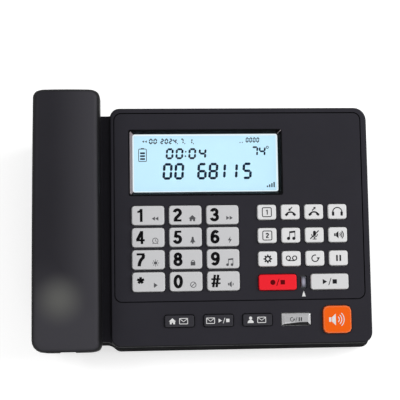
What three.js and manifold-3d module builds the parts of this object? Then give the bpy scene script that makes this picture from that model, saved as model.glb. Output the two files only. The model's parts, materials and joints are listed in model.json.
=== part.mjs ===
// Desk telephone with a recorder: sloping deck, lying handset, display, thirty-one keys.
// Millimetres. X runs to the right, Y to the rear, Z up.
import * as THREE from "three";
import { mergeVertices } from "three/addons/utils/BufferGeometryUtils.js";
import Module from "manifold-3d";

const wasm = await Module();
wasm.setup();

// General values
const degree = Math.PI / 180;
const slope = 11 * degree;
const fit = 0.3;
const overrun = 1;
const half = 1 / 2;

// Casing, seen in plan and in its thicknesses
const casing = {
  frontHeight: 26,
  leftRadius: 7,
  frontRightRadius: 7.6,
  rearRightRadius: 9.5,
  edgeRadius: 1.2,
  rimWidth: 3.2,
  skirt: 3.5,
  seam: 1,
  seamInset: 0.8,
  wall: 2.4,
  floor: 2.4,
  footHeight: 2,
  bottomRadius: 3.5,
  frontFlare: 1.7,
  rightFlare: 2.6,
};

// Dial keys, three columns by four rows
const dialKey = { width: 24, depth: 14.2, radius: 1.9, rise: 1.8, columnGap: 3.7, rowGap: 2.2 };

// Function keys, four columns by three rows
const functionKey = { width: 14, depth: 11.1, radius: 1.6, rise: 1.6, columnGap: 3.75 };

// The two long record keys, with the light between them
const recordKey = { depth: 11.5, radius: 1.6, rise: 1.8 };
const recordLight = { width: 4.4, depth: 8.8, radius: 0.8, rise: 0.4, gap: 3.2 };

// Front row: three dark message keys, the redial key and the square speaker key
const frontKey = { width: 21.6, depth: 8.6, radius: 1.2, rise: 1.6, gap: 7.3, lift: 0.65 };
const redialKey = { ...frontKey, radius: 0.6, bevelWidth: 2.2, bevelDepth: 1.1 };
const speakerKey = { width: 21, depth: 20.1, radius: 3.6, rise: 2, gapToRow: 9.4, fromRight: 16.2 };

// What all keys share
const key = {
  travel: 1.2,
  flange: 0.95,
  flangeThickness: 1.2,
  chamfer: 0.5,
  crownRadius: 0.1,
  holeGap: 0.55,
};

// Inset face panel
const panel = {
  thickness: 2,
  seam: 0.8,
  radius: 5,
  leftMargin: 3.4,
  rightMargin: 5.3,
  rearMargin: 4.45,
  leftPad: 12.6,
  blockGap: 14.3,
  rightPad: 12.2,
  frontPad: 7.1,
  displayGap: 7.9,
  rearPad: 12.15,
};

// Front strip of the deck, in front of the panel
const strip = { frontPad: 7.4, rearPad: 5.4 };

// Ledge under the edge of the panel
const ledge = { thickness: 2, width: 5, overlap: 2.2, bar: 2.4, bite: 0.5 };

// Display: bezel, window and module
const display = {
  leftPad: 10.7,
  bezelWidth: 115.2,
  bezelDepth: 49.4,
  bezelRise: 0.2,
  bezelLip: 0.7,
  bezelRadius: 1.5,
  openingMargin: 2.7,
  funnelDepth: 2.8,
  collarDepth: 4.2,
  flange: 2,
  flangeThickness: 1,
  windowLap: 1.6,
  windowThickness: 1.2,
  moduleLap: 0.4,
  moduleThickness: 5,
  legThickness: 1.4,
  legLength: 8,
  boardThickness: 1.6,
};

// Rubber key mat and key board
const mat = { thickness: 1, margin: 3.5, domeTop: 2.4, domeBase: 3.8, domeSpare: 0.1, radius: 3 };
const keyBoard = { thickness: 1.6, sideGap: 1, postWidth: 3, postDepth: 6, postInset: 1.3 };

// Screw pillars that join the two casing halves
const pillar = {
  radius: 3.2,
  lowerRadius: 4.4,
  bore: 2.8,
  web: 3,
  clearance: 3,
  sideInset: 7.5,
  rearInset: 8,
};

// Wing that carries the handset, left of the deck block
const wing = {
  frontInset: 4.6,
  rearInset: 3.45,
  drop: 7,
  plate: 2.5,
  radius: 8,
  strip: 6,
  handsetLap: 1.5,
  frontFillet: 8,
  rearFillet: 5,
  stepWall: 2.2,
};

// Cups for the handset's two bosses, and the hollow for the fingers between them
const cup = { gap: 1.5, wall: 1.8, floor: 2, frontInset: 8.2, rearInset: 11.4 };
const scoop = { start: 55.5, end: 110.5, depth: 10, wall: 2.2, floor: 2, rightInset: 9.2 };

// Handset: two shells, a boss at each end
const handset = {
  width: 50.3,
  rearNarrowing: 1.5,
  frontOverhang: 2.7,
  rearOverhang: 11.85,
  top: 36,
  parting: 20,
  underside: 13,
  frontLeftRadius: 9.5,
  frontRightRadius: 5,
  rearPlanRadius: 6,
  topRadius: 5,
  undersideRadius: 3.2,
  crown: 1.2,
  arch: 2.4,
  wall: 2.2,
  bossWidth: 32,
  bossDepth: 34,
  bossRadius: 8,
  bossEdge: 1.4,
  bossWall: 2,
  notchWidth: 11.4,
  notchDepth: 1.8,
  notchOffset: 1,
  notchBottom: 14.5,
  notchTop: 31.2,
  pillarRadius: 3,
  pillarGap: 2,
  soundHole: 1.1,
  soundRing: 5.5,
};

// Inserts of the handset
const earpiece = { radius: 12.6, height: 6, rim: 1.2, rimHeight: 1.4 };
const capsule = { radius: 4.85, height: 5.4, lip: 0.6, lipHeight: 0.8 };

// Modular sockets, and the power socket
const socket = {
  width: 10.8,
  height: 9.4,
  depth: 12.4,
  mouthWidth: 7.8,
  mouthHeight: 6.2,
  mouthDepth: 9.5,
};
const lineSocket = {
  width: 13,
  height: 11,
  depth: 14,
  mouthWidth: 9.8,
  mouthHeight: 7,
  mouthDepth: 11,
};
const powerSocket = {
  width: 9.2,
  height: 11,
  depth: 13,
  mouthRadius: 3,
  pinRadius: 0.8,
  mouthDepth: 9,
};

// Hook switch: plunger, spring and switch
const hook = {
  travel: 4,
  stemWidth: 9,
  stemDepth: 5,
  flangeLeft: 6,
  flangeRight: 13,
  flangeDepth: 8,
  flangeThickness: 1.5,
  pinRadius: 1.7,
  pinLength: 2.6,
  springRadius: 3.1,
  wireRadius: 0.35,
  springHeight: 8.4,
  turns: 6,
  postMargin: 0.6,
  switchWidth: 6,
  switchDepth: 5.8,
  switchOffset: 9,
  buttonHeight: 1.2,
  buttonSide: 2.4,
};

// Battery bay in the floor, and its sliding door
const battery = {
  width: 57,
  length: 56,
  height: 15.5,
  wall: 2.6,
  rearInset: 8,
  doorWidth: 58,
  doorLength: 60,
  doorThickness: 2,
  tongue: 2,
  tongueThickness: 1,
  lipThickness: 0.7,
  doorRearInset: 4.5,
  gripCount: 4,
  gripWidth: 20,
  gripDepth: 1,
  gripPitch: 3,
  gripInset: 8,
};

// Main board and what stands on it
const mainBoard = {
  length: 66,
  thickness: 1.6,
  leftInset: 16,
  bayGap: 1.4,
  rearGap: 3,
  standoff: 5.3,
  standoffRadius: 3,
  standoffInset: 6,
  chip: 14,
  chipHeight: 1.8,
  canRadius: 5,
  canHeight: 12,
  coilWidth: 16,
  coilDepth: 13,
  coilHeight: 10,
  lineSocketInset: 16,
  powerSocketInset: 8,
};

// Loudspeaker behind a field of holes in the floor
const speaker = {
  radius: 25,
  frontInset: 58,
  rightInset: 52,
  flange: 1.2,
  coneDepth: 7,
  magnetRadius: 13,
  magnetHeight: 6,
  collar: 1.8,
  collarHeight: 3,
  hole: 1.8,
  ringPitch: 7.5,
  rings: 2,
};

// Microphone for hands-free talk, behind the front wall
const microphone = {
  radius: 4.85,
  length: 5.6,
  height: 12,
  fromLeft: 97,
  hole: 1.1,
  cradle: 3.2,
  cradleDepth: 4,
};

// Feet
const foot = { radius: 6, recess: 1, rim: 0.6, sideInset: 24, frontInset: 16, rearInset: 16 };

// Counts and steps of round shapes
const arcStep = 15;
const smallArcStep = 45;
const roundSides = 18;
const smallSides = 8;
const holeSides = 6;

// Sizes that follow from the ones above
const dialColumns = 3;
const dialRows = 4;
const functionColumns = 4;
const functionRows = 3;
const dialPitchX = dialKey.width + dialKey.columnGap;
const dialPitchY = dialKey.depth + dialKey.rowGap;
const dialBlockWidth = dialColumns * dialKey.width + (dialColumns - 1) * dialKey.columnGap;
const dialBlockDepth = dialRows * dialKey.depth + (dialRows - 1) * dialKey.rowGap;
const functionPitchX = functionKey.width + functionKey.columnGap;
const functionPitchY = (dialBlockDepth - functionKey.depth) / functionRows;
const functionGaps = (functionColumns - 1) * functionKey.columnGap;
const functionBlockWidth = functionColumns * functionKey.width + functionGaps;
const recordKeyWidth = (functionBlockWidth - recordLight.width - 2 * recordLight.gap) * half;

const panelWidth = panel.leftPad + dialBlockWidth + panel.blockGap + functionBlockWidth + panel.rightPad;
const panelDepth = panel.frontPad + dialBlockDepth + panel.displayGap + display.bezelDepth + panel.rearPad;
const stripDepth = strip.frontPad + speakerKey.depth + strip.rearPad;
const blockWidth = panel.leftMargin + panelWidth + panel.rightMargin;
const deckLength = stripDepth + panelDepth + panel.rearMargin;
const blockDepth = deckLength * Math.cos(slope);

const blockLeft = -blockWidth * half;
const blockRight = blockWidth * half;
const panelLeft = blockLeft + panel.leftMargin;
const panelRight = blockRight - panel.rightMargin;
const panelFront = stripDepth;
const panelRear = stripDepth + panelDepth;

const dialLeft = panelLeft + panel.leftPad;
const dialFront = panelFront + panel.frontPad;
const functionLeft = dialLeft + dialBlockWidth + panel.blockGap;
const functionRight = functionLeft + functionBlockWidth;
const keysRear = dialFront + dialBlockDepth;
const frontRowY = strip.frontPad + speakerKey.depth * half;

// Levels, measured square to the deck from its top face
const flangeTop = -(panel.thickness + fit);
const flangeBottom = flangeTop - key.flangeThickness;
const domeTop = flangeBottom - fit;
const matTop = domeTop - key.travel - mat.domeSpare;
const matBottom = matTop - mat.thickness;
const keyBoardTop = matBottom - fit;
const keyBoardBottom = keyBoardTop - keyBoard.thickness;
const ledgeTop = flangeTop;
const ledgeBottom = ledgeTop - ledge.thickness;
const wingTop = -wing.drop;
const wingBottom = wingTop - wing.plate;
const scoopTop = wingTop - scoop.depth;
const scoopBottom = scoopTop - casing.skirt;

const floorBottom = casing.footHeight;
const floorTop = floorBottom + casing.floor;
const innerInset = casing.seamInset + casing.wall;

// Handset in plan and height
const handsetRight = blockLeft - wing.strip;
const handsetX = handsetRight - handset.width * half;
const handsetFront = -handset.frontOverhang;
const handsetRear = deckLength + handset.rearOverhang;
const handsetMiddle = (handsetFront + handsetRear) * half;
const wingLeft = handsetRight - handset.width + wing.handsetLap;
const wingRear = blockDepth - wing.rearInset;
const bossFloor = wingTop - handset.underside + hook.travel;
const cupFloor = bossFloor - fit;
const cupBottom = cupFloor - cup.floor;
const mouthBossY = wing.frontInset + cup.frontInset + cup.gap + handset.bossDepth * half;
const earBossY = deckLength - wing.rearInset - cup.rearInset - cup.gap - handset.bossDepth * half;
const hookY = (scoop.end + scoop.wall + earBossY - handset.bossDepth * half - cup.gap - cup.wall) * half;

// Outlines, lofts and solids

function arc(centreX, centreY, radius, from, to, step) {
  const count = Math.ceil(Math.abs(to - from) / step);
  return Array.from({ length: count + 1 }, (unused, index) => {
    const angle = (from + ((to - from) * index) / count) * degree;
    return [centreX + radius * Math.cos(angle), centreY + radius * Math.sin(angle)];
  });
}

// Rounded rectangle, counter-clockwise. Radii run front left, front right, rear right, rear left.
function roundedRectangle(left, right, front, rear, radii, step = smallArcStep) {
  const [frontLeft, frontRight, rearRight, rearLeft] = radii;
  return [
    ...arc(left + frontLeft, front + frontLeft, frontLeft, 180, 270, step),
    ...arc(right - frontRight, front + frontRight, frontRight, 270, 360, step),
    ...arc(right - rearRight, rear - rearRight, rearRight, 0, 90, step),
    ...arc(left + rearLeft, rear - rearLeft, rearLeft, 90, 180, step),
  ];
}

function centredRectangle(x, y, width, depth, radius, step = smallArcStep) {
  const radii = [radius, radius, radius, radius];
  const [halfWidth, halfDepth] = [width * half, depth * half];
  return roundedRectangle(x - halfWidth, x + halfWidth, y - halfDepth, y + halfDepth, radii, step);
}

function circle(x, y, radius, sides) {
  return Array.from({ length: sides }, (unused, index) => {
    const angle = (index * 2 * Math.PI) / sides;
    return [x + radius * Math.cos(angle), y + radius * Math.sin(angle)];
  });
}

// The deck block in plan, drawn in by an inset.
function blockOutline(inset) {
  const left = casing.leftRadius - inset;
  const radii = [left, casing.frontRightRadius - inset, casing.rearRightRadius - inset, left];
  return roundedRectangle(blockLeft + inset, blockRight - inset, inset, blockDepth - inset, radii, arcStep);
}

// Block and wing in plan as one outline. Where the wing meets the block, a hollow arc touches
// the wing's straight edge and the block's round corner, so its centre follows from both radii.
function planOutline(inset) {
  const corner = casing.leftRadius;
  const cornerX = blockLeft + corner;
  const frontFilletY = wing.frontInset - wing.frontFillet;
  const frontAngle = Math.asin((corner - frontFilletY) / (corner + wing.frontFillet)) / degree;
  const frontFilletX = cornerX - (corner + wing.frontFillet) * Math.cos(frontAngle * degree);
  const rearFilletY = wingRear + wing.rearFillet;
  const rearAngle = Math.asin((rearFilletY - blockDepth + corner) / (corner + wing.rearFillet)) / degree;
  const rearFilletX = cornerX - (corner + wing.rearFillet) * Math.cos(rearAngle * degree);
  const left = corner - inset;
  const [frontRight, rearRight] = [casing.frontRightRadius, casing.rearRightRadius];
  const wingCorner = wing.radius - inset;
  const wingX = wingLeft + wing.radius;
  return [
    ...arc(cornerX, corner, left, 180 + frontAngle, 270, arcStep),
    ...arc(blockRight - frontRight, frontRight, frontRight - inset, 270, 360, arcStep),
    ...arc(blockRight - rearRight, blockDepth - rearRight, rearRight - inset, 0, 90, arcStep),
    ...arc(cornerX, blockDepth - corner, left, 90, 180 - rearAngle, arcStep),
    ...arc(rearFilletX, rearFilletY, wing.rearFillet + inset, -rearAngle, -90, arcStep).slice(1),
    ...arc(wingX, wingRear - wing.radius, wingCorner, 90, 180, arcStep),
    ...arc(wingX, wing.frontInset + wing.radius, wingCorner, 180, 270, arcStep),
    ...arc(frontFilletX, frontFilletY, wing.frontFillet + inset, 90, frontAngle, arcStep).slice(0, -1),
  ];
}

// Height of the plane that lies a given distance above or below the deck's top face.
function level(distance) {
  return (x, y) => casing.frontHeight + y * Math.tan(slope) + distance / Math.cos(slope);
}

function flat(height) {
  return () => height;
}

// Closed body through a stack of rings, each an outline and a height over it, lowest first.
function loft(rings) {
  const count = rings[0].outline.length;
  const positions = [];
  const indices = [];
  for (const { outline, height } of rings) {
    for (const [x, y] of outline) {
      positions.push(x, y, height(x, y));
    }
  }
  for (let ring = 0; ring < rings.length - 1; ring += 1) {
    for (let point = 0; point < count; point += 1) {
      const next = (point + 1) % count;
      const [a, b] = [ring * count + point, ring * count + next];
      indices.push(a, b, b + count, a, b + count, a + count);
    }
  }
  const caps = [rings[0], rings[rings.length - 1]].map(({ outline }) =>
    THREE.ShapeUtils.triangulateShape(outline.map(([x, y]) => new THREE.Vector2(x, y)), []),
  );
  const last = (rings.length - 1) * count;
  for (const [a, b, c] of caps[0]) {
    indices.push(a, c, b);
  }
  for (const [a, b, c] of caps[1]) {
    indices.push(last + a, last + b, last + c);
  }
  const geometry = new THREE.BufferGeometry();
  geometry.setAttribute("position", new THREE.Float32BufferAttribute(positions, 3));
  geometry.setIndex(indices);
  geometry.computeVertexNormals();
  return geometry;
}

function prism(outline, bottom, top) {
  return loft([
    { outline, height: typeof bottom === "function" ? bottom : flat(bottom) },
    { outline, height: typeof top === "function" ? top : flat(top) },
  ]);
}

function box(left, right, front, rear, bottom, top) {
  const geometry = new THREE.BoxGeometry(right - left, rear - front, top - bottom);
  return geometry.translate((left + right) * half, (front + rear) * half, (bottom + top) * half);
}

function rod(x, y, bottom, top, radius, sides = smallSides) {
  return prism(circle(x, y, radius, sides), bottom, top);
}

// Turned body: profile points are radius and height, from the axis round to the axis.
function turned(profile, sides = roundSides) {
  const points = profile.map(([radius, height]) => new THREE.Vector2(radius, height));
  return new THREE.LatheGeometry(points, sides).rotateX(90 * degree);
}

function solid(geometry) {
  const plain = geometry.clone();
  plain.deleteAttribute("normal");
  plain.deleteAttribute("uv");
  const merged = mergeVertices(plain);
  const vertProperties = new Float32Array(merged.attributes.position.array);
  const triVerts = new Uint32Array(merged.index.array);
  return new wasm.Manifold(new wasm.Mesh({ numProp: 3, vertProperties, triVerts }));
}

function geometryOf(body) {
  const mesh = body.getMesh();
  const geometry = new THREE.BufferGeometry();
  geometry.setAttribute("position", new THREE.BufferAttribute(new Float32Array(mesh.vertProperties), 3));
  geometry.setIndex(new THREE.BufferAttribute(new Uint32Array(mesh.triVerts), 1));
  geometry.computeVertexNormals();
  return geometry;
}

function joined(body, geometries) {
  return geometries.reduce((sum, geometry) => sum.add(solid(geometry)), body);
}

function cut(body, geometries) {
  return geometries.reduce((rest, geometry) => rest.subtract(solid(geometry)), body);
}

// Places a geometry that is drawn square to the deck into the casing's upright frame.
const deckMatrix = new THREE.Matrix4().makeRotationX(slope).setPosition(0, 0, casing.frontHeight);

function onDeck(geometry) {
  return geometry.applyMatrix4(deckMatrix);
}

// Y in the upright frame of a place on the deck.
function uprightY(y, distance = 0) {
  return y * Math.cos(slope) - distance * Math.sin(slope);
}

// Materials

function finish(color, roughness, metalness = 0, extra = {}) {
  return new THREE.MeshStandardMaterial({ color, roughness, metalness, ...extra });
}

const colours = {
  deck: 0x313032,
  base: 0x262527,
  handset: 0x353436,
  lightKey: 0xcdcecf,
  functionKey: 0xd8d8d9,
  red: 0xff2d3c,
  white: 0xe9e9ea,
  silver: 0xb9bcc0,
  dark: 0x2b2a2c,
  orange: 0xf0682a,
  bezel: 0x141416,
  window: 0xe6f4ff,
  screen: 0xc4ecff,
  rubber: 0x3a3a3c,
  board: 0x1f5c3a,
  metal: 0xa9abad,
  socket: 0x1b1b1d,
  lamp: 0x5a1417,
};

const deck = new THREE.Group();
deck.rotation.x = slope;
deck.position.z = casing.frontHeight;

const handsetGroup = new THREE.Group();
handsetGroup.position.set(handsetX, 0, bossFloor);
deck.add(handsetGroup);

const telephone = new THREE.Group();
telephone.add(deck);

function addPart(parent, name, geometry, material) {
  const mesh = new THREE.Mesh(geometry, material);
  mesh.name = name;
  parent.add(mesh);
  return mesh;
}

// Keys: a cap, chamfered at the top, on a wider flange that holds it under the panel.

function keyGeometry({
  width,
  depth,
  radius,
  rise,
  bevelWidth = key.chamfer,
  bevelDepth = key.chamfer,
}) {
  const flange = centredRectangle(0, 0, width + 2 * key.flange, depth + 2 * key.flange, radius);
  const cap = centredRectangle(0, 0, width, depth, radius);
  const [crownWidth, crownDepth] = [width - 2 * bevelWidth, depth - 2 * bevelWidth];
  const crownRadius = Math.max(radius - bevelWidth, key.crownRadius);
  const crown = centredRectangle(0, 0, crownWidth, crownDepth, crownRadius);
  return loft([
    { outline: flange, height: flat(flangeBottom) },
    { outline: flange, height: flat(flangeTop) },
    { outline: cap, height: flat(flangeTop) },
    { outline: cap, height: flat(rise - bevelDepth) },
    { outline: crown, height: flat(rise) },
  ]);
}

const dialNames = ["1", "2", "3", "4", "5", "6", "7", "8", "9", "star", "0", "hash"];
const functionNames = [
  ["memory_1", "incoming", "outgoing", "earphone"],
  ["memory_2", "music", "mute", "volume"],
  ["setup", "recordings", "call_back", "pause"],
];
const messageNames = ["message_1", "message_2", "message_3"];

function dialKeys() {
  return dialNames.map((name, index) => ({
    name: `key_${name}`,
    x: dialLeft + dialKey.width * half + (index % dialColumns) * dialPitchX,
    y: keysRear - dialKey.depth * half - Math.floor(index / dialColumns) * dialPitchY,
    size: dialKey,
    colour: colours.lightKey,
    inPanel: true,
  }));
}

function functionKeys() {
  return functionNames.flatMap((names, row) =>
    names.map((name, column) => ({
      name: `key_${name}`,
      x: functionLeft + functionKey.width * half + column * functionPitchX,
      y: keysRear - functionKey.depth * half - row * functionPitchY,
      size: functionKey,
      colour: colours.functionKey,
      inPanel: true,
    })),
  );
}

const recordRowY = keysRear - functionKey.depth * half - functionRows * functionPitchY;

function recordKeys() {
  const size = { ...recordKey, width: recordKeyWidth };
  const stop = { name: "key_record_stop", x: functionLeft + recordKeyWidth * half, colour: colours.red };
  const play = { name: "key_record_play", x: functionRight - recordKeyWidth * half, colour: colours.white };
  return [stop, play].map((place) => ({ ...place, y: recordRowY, size, inPanel: true }));
}

function frontKeys() {
  const speakerX = blockRight - speakerKey.fromRight - speakerKey.width * half;
  const redialX = speakerX - (speakerKey.width + frontKey.width) * half - speakerKey.gapToRow;
  const pitch = frontKey.width + frontKey.gap;
  const messages = messageNames.map((name, index) => ({
    name: `key_${name}`,
    x: redialX - (messageNames.length - index) * pitch,
    y: frontRowY + frontKey.lift,
    size: frontKey,
    colour: colours.dark,
  }));
  const redial = {
    name: "key_redial",
    x: redialX,
    y: frontRowY + frontKey.lift,
    size: redialKey,
    colour: colours.silver,
  };
  const speakerPhone = {
    name: "key_speakerphone",
    x: speakerX,
    y: frontRowY,
    size: speakerKey,
    colour: colours.orange,
  };
  return [...messages, redial, speakerPhone];
}

const allKeys = [...dialKeys(), ...functionKeys(), ...recordKeys(), ...frontKeys()];

for (const { name, x, y, size, colour } of allKeys) {
  const mesh = addPart(deck, name, keyGeometry(size), finish(colour, 0.45));
  mesh.position.set(x, y, 0);
}

const light = { x: (functionLeft + functionRight) * half, y: recordRowY, size: recordLight };
const lightMesh = addPart(deck, "record_light", keyGeometry(recordLight), finish(colours.lamp, 0.2));
lightMesh.position.set(light.x, light.y, 0);

function keyHole({ x, y, size }) {
  const { width, depth, radius } = size;
  return centredRectangle(x, y, width + 2 * key.holeGap, depth + 2 * key.holeGap, radius + key.holeGap);
}

// Face panel, with a hole for each key, the light and the display

const bezelX = panelLeft + display.leftPad + display.bezelWidth * half;
const bezelY = keysRear + panel.displayGap + display.bezelDepth * half;

function displayOutline(grow, radius = display.bezelRadius) {
  const [width, depth] = [display.bezelWidth + 2 * grow, display.bezelDepth + 2 * grow];
  return centredRectangle(bezelX, bezelY, width, depth, radius);
}

function panelOutline(inset) {
  const radius = panel.radius - inset;
  const radii = [radius, radius, radius, radius];
  const [left, right] = [panelLeft + inset, panelRight - inset];
  return roundedRectangle(left, right, panelFront + inset, panelRear - inset, radii, arcStep);
}

function shapeOf(outline) {
  return new THREE.Shape(outline.map(([x, y]) => new THREE.Vector2(x, y)));
}

function facePanel() {
  const shape = shapeOf(panelOutline(0));
  const openings = allKeys.filter(({ inPanel }) => inPanel).map(keyHole);
  shape.holes = [...openings, keyHole(light), displayOutline(fit)].map(shapeOf);
  const geometry = new THREE.ExtrudeGeometry(shape, { depth: panel.thickness, bevelEnabled: false });
  return geometry.translate(0, 0, -panel.thickness);
}

addPart(deck, "face_panel", facePanel(), finish(colours.deck, 0.5));

// Display: funnel bezel, clear window and the module behind it

function displayBezel() {
  const body = displayOutline(0);
  const flange = displayOutline(display.flange);
  const outside = loft([
    { outline: body, height: flat(-display.collarDepth) },
    { outline: body, height: flat(flangeTop - display.flangeThickness) },
    { outline: flange, height: flat(flangeTop - display.flangeThickness) },
    { outline: flange, height: flat(flangeTop) },
    { outline: body, height: flat(flangeTop) },
    { outline: body, height: flat(display.bezelRise) },
  ]);
  const mouth = displayOutline(-display.bezelLip);
  const throat = displayOutline(-display.openingMargin);
  const funnel = loft([
    { outline: throat, height: flat(-display.collarDepth - overrun) },
    { outline: throat, height: flat(-display.funnelDepth) },
    { outline: mouth, height: flat(display.bezelRise) },
    { outline: mouth, height: flat(display.bezelRise + overrun) },
  ]);
  return geometryOf(cut(solid(outside), [funnel]));
}

const windowTop = -(display.collarDepth + fit);
const moduleTop = windowTop - display.windowThickness - fit;
const moduleBottom = moduleTop - display.moduleThickness;
const windowGrow = display.windowLap - display.openingMargin;

// The module hangs under the bezel's flange: a board with four legs beside the bezel's collar.
function displayModule() {
  const grow = fit + display.legThickness;
  const glass = displayOutline(-display.moduleLap);
  const sideX = display.bezelWidth * half + fit;
  const endY = display.bezelDepth * half - display.legLength;
  const legTop = flangeTop - display.flangeThickness - fit;
  const legs = [-1, 1].flatMap((side) =>
    [-1, 1].map((end) => {
      const inner = bezelX + side * sideX;
      const outer = inner + side * display.legThickness;
      const start = bezelY + end * endY;
      const finishY = start + end * display.legLength;
      const [left, right] = [Math.min(inner, outer), Math.max(inner, outer)];
      const [front, rear] = [Math.min(start, finishY), Math.max(start, finishY)];
      return box(left, right, front, rear, moduleBottom - fit, legTop);
    }),
  );
  const board = prism(displayOutline(grow), moduleBottom - display.boardThickness, moduleBottom);
  return geometryOf(joined(solid(board), [prism(glass, moduleBottom - fit, moduleTop), ...legs]));
}

addPart(deck, "display_bezel", displayBezel(), finish(colours.bezel, 0.25));
addPart(
  deck,
  "display_window",
  prism(displayOutline(windowGrow), windowTop - display.windowThickness, windowTop),
  finish(colours.window, 0.05, 0, { transparent: true, opacity: 0.3 }),
);
addPart(deck, "display_module", displayModule(), finish(colours.screen, 0.4));

// Key mat with a dome under each key, and the board below it

const matLeft = dialLeft - mat.margin;
const matRight = functionRight + mat.margin;
const matFront = strip.frontPad - key.flange;
const matRear = keysRear + key.flange + mat.margin * half;

// The screw pillars stand upright, so their place on the deck is given by its top face.
const pillarPlaces = [
  [blockLeft + pillar.sideInset * 2, frontRowY],
  [blockRight - pillar.sideInset - fit, frontRowY],
  [blockLeft + pillar.sideInset, keysRear + panel.displayGap + pillar.radius],
  [blockRight - pillar.sideInset, keysRear + panel.displayGap + pillar.radius],
  [blockLeft + pillar.sideInset, deckLength - pillar.rearInset],
  [blockRight - pillar.sideInset, deckLength - pillar.rearInset],
];

// Round clearance in a board for a pillar, taken square to the deck.
function pillarClearance([x, y]) {
  return rod(x, y, keyBoardBottom - overrun, matTop + overrun, pillar.radius + pillar.clearance);
}

function keyMat() {
  const radii = [mat.radius, mat.radius, mat.radius, mat.radius];
  const sheet = prism(roundedRectangle(matLeft, matRight, matFront, matRear, radii), matBottom, matTop);
  const domes = allKeys.map(({ x, y }) =>
    loft([
      { outline: circle(x, y, mat.domeBase, smallSides), height: flat(matBottom + mat.thickness * half) },
      { outline: circle(x, y, mat.domeBase, smallSides), height: flat(matTop) },
      { outline: circle(x, y, mat.domeTop, smallSides), height: flat(domeTop) },
    ]),
  );
  const body = joined(solid(sheet), domes);
  return geometryOf(cut(body, pillarPlaces.slice(0, 2).map(pillarClearance)));
}

const keyBoardLeft = blockLeft + innerInset + keyBoard.sideGap;
const keyBoardRight = blockRight - innerInset - keyBoard.sideGap;
const keyBoardRear = matRear + fit;

function keyCircuitBoard() {
  const plate = box(keyBoardLeft, keyBoardRight, matFront, keyBoardRear, keyBoardBottom, keyBoardTop);
  return geometryOf(cut(solid(plate), pillarPlaces.slice(0, 2).map(pillarClearance)));
}

addPart(deck, "keymat", keyMat(), finish(colours.rubber, 0.8));
addPart(deck, "key_board", keyCircuitBoard(), finish(colours.board, 0.6));

// Upper casing

const postYShares = [0.3, 0.62, 0.94];

function boardPosts() {
  const inner = ledge.width - keyBoard.postInset;
  const lefts = [panelLeft + inner - keyBoard.postWidth, panelRight - inner];
  return lefts.flatMap((x) =>
    postYShares.map((share) => {
      const y = matFront + (keyBoardRear - matFront) * share - keyBoard.postDepth;
      const [right, rear] = [x + keyBoard.postWidth, y + keyBoard.postDepth];
      return box(x, right, y, rear, keyBoardTop + fit, ledgeBottom + ledge.bite);
    }),
  );
}

function meetHeight(y) {
  return (level(ledgeBottom)(0, y) + floorTop) * half;
}

// A pillar ends inside the deck's wall at the front, and inside the ledge further back.
function upperPillar([x, y]) {
  const middle = uprightY(y);
  const top = y < panelFront ? -panel.thickness * half : ledgeTop - ledge.thickness * half;
  return rod(x, middle, meetHeight(middle), level(top), pillar.radius);
}

// Round edge from the outer face up onto the top face.
function edgeRings(outlineOf, radius, topLevel) {
  const steps = [0, 1, 2, 3];
  return steps.map((step) => {
    const angle = (step / (steps.length - 1)) * 90 * degree;
    const inset = radius * (1 - Math.cos(angle));
    return { outline: outlineOf(inset), height: level(topLevel - radius * (1 - Math.sin(angle))) };
  });
}

function deckFrame() {
  const outer = loft([
    { outline: blockOutline(0), height: level(-casing.skirt) },
    ...edgeRings(blockOutline, casing.edgeRadius, 0),
  ]);
  const hollow = prism(blockOutline(casing.rimWidth), flat(0), level(-panel.thickness));
  const shelfRadii = [panel.radius, panel.radius, panel.radius, panel.radius];
  const shelf = prism(
    roundedRectangle(
      panelLeft - ledge.overlap,
      panelRight + ledge.overlap,
      panelFront - ledge.bar,
      panelRear + ledge.overlap,
      shelfRadii,
    ),
    ledgeBottom,
    ledgeTop + ledge.bite,
  );
  const pocket = prism(panelOutline(-panel.seam), ledgeTop, overrun);
  const windowRadius = panel.radius * half;
  const windowRadii = [windowRadius, windowRadius, windowRadius, windowRadius];
  const window = prism(
    roundedRectangle(
      panelLeft + ledge.width,
      panelRight - ledge.width,
      panelFront + ledge.width - overrun,
      panelRear - ledge.width,
      windowRadii,
    ),
    ledgeBottom - overrun,
    overrun,
  );
  const frame = cut(solid(outer), [hollow]);
  return cut(joined(frame, [onDeck(shelf)]), [onDeck(pocket), onDeck(window)]);
}

const wingRight = blockLeft + wing.stepWall;
const farLeft = wingLeft - overrun;
const scoopRight = blockLeft - scoop.rightInset;

// What the wing's plan covers, from below the floor to above the deck, left of a given x.
function leftOf(x, outline) {
  const area = box(farLeft, x, -overrun, blockDepth + overrun, -overrun, level(0)(0, blockDepth) + overrun);
  return solid(prism(outline, flat(0), level(overrun))).intersect(solid(area));
}

function cupOutline(y, grow) {
  const [width, depth] = [handset.bossWidth + 2 * grow, handset.bossDepth + 2 * grow];
  return centredRectangle(handsetX, y, width, depth, handset.bossRadius + grow, arcStep * 2);
}

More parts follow.
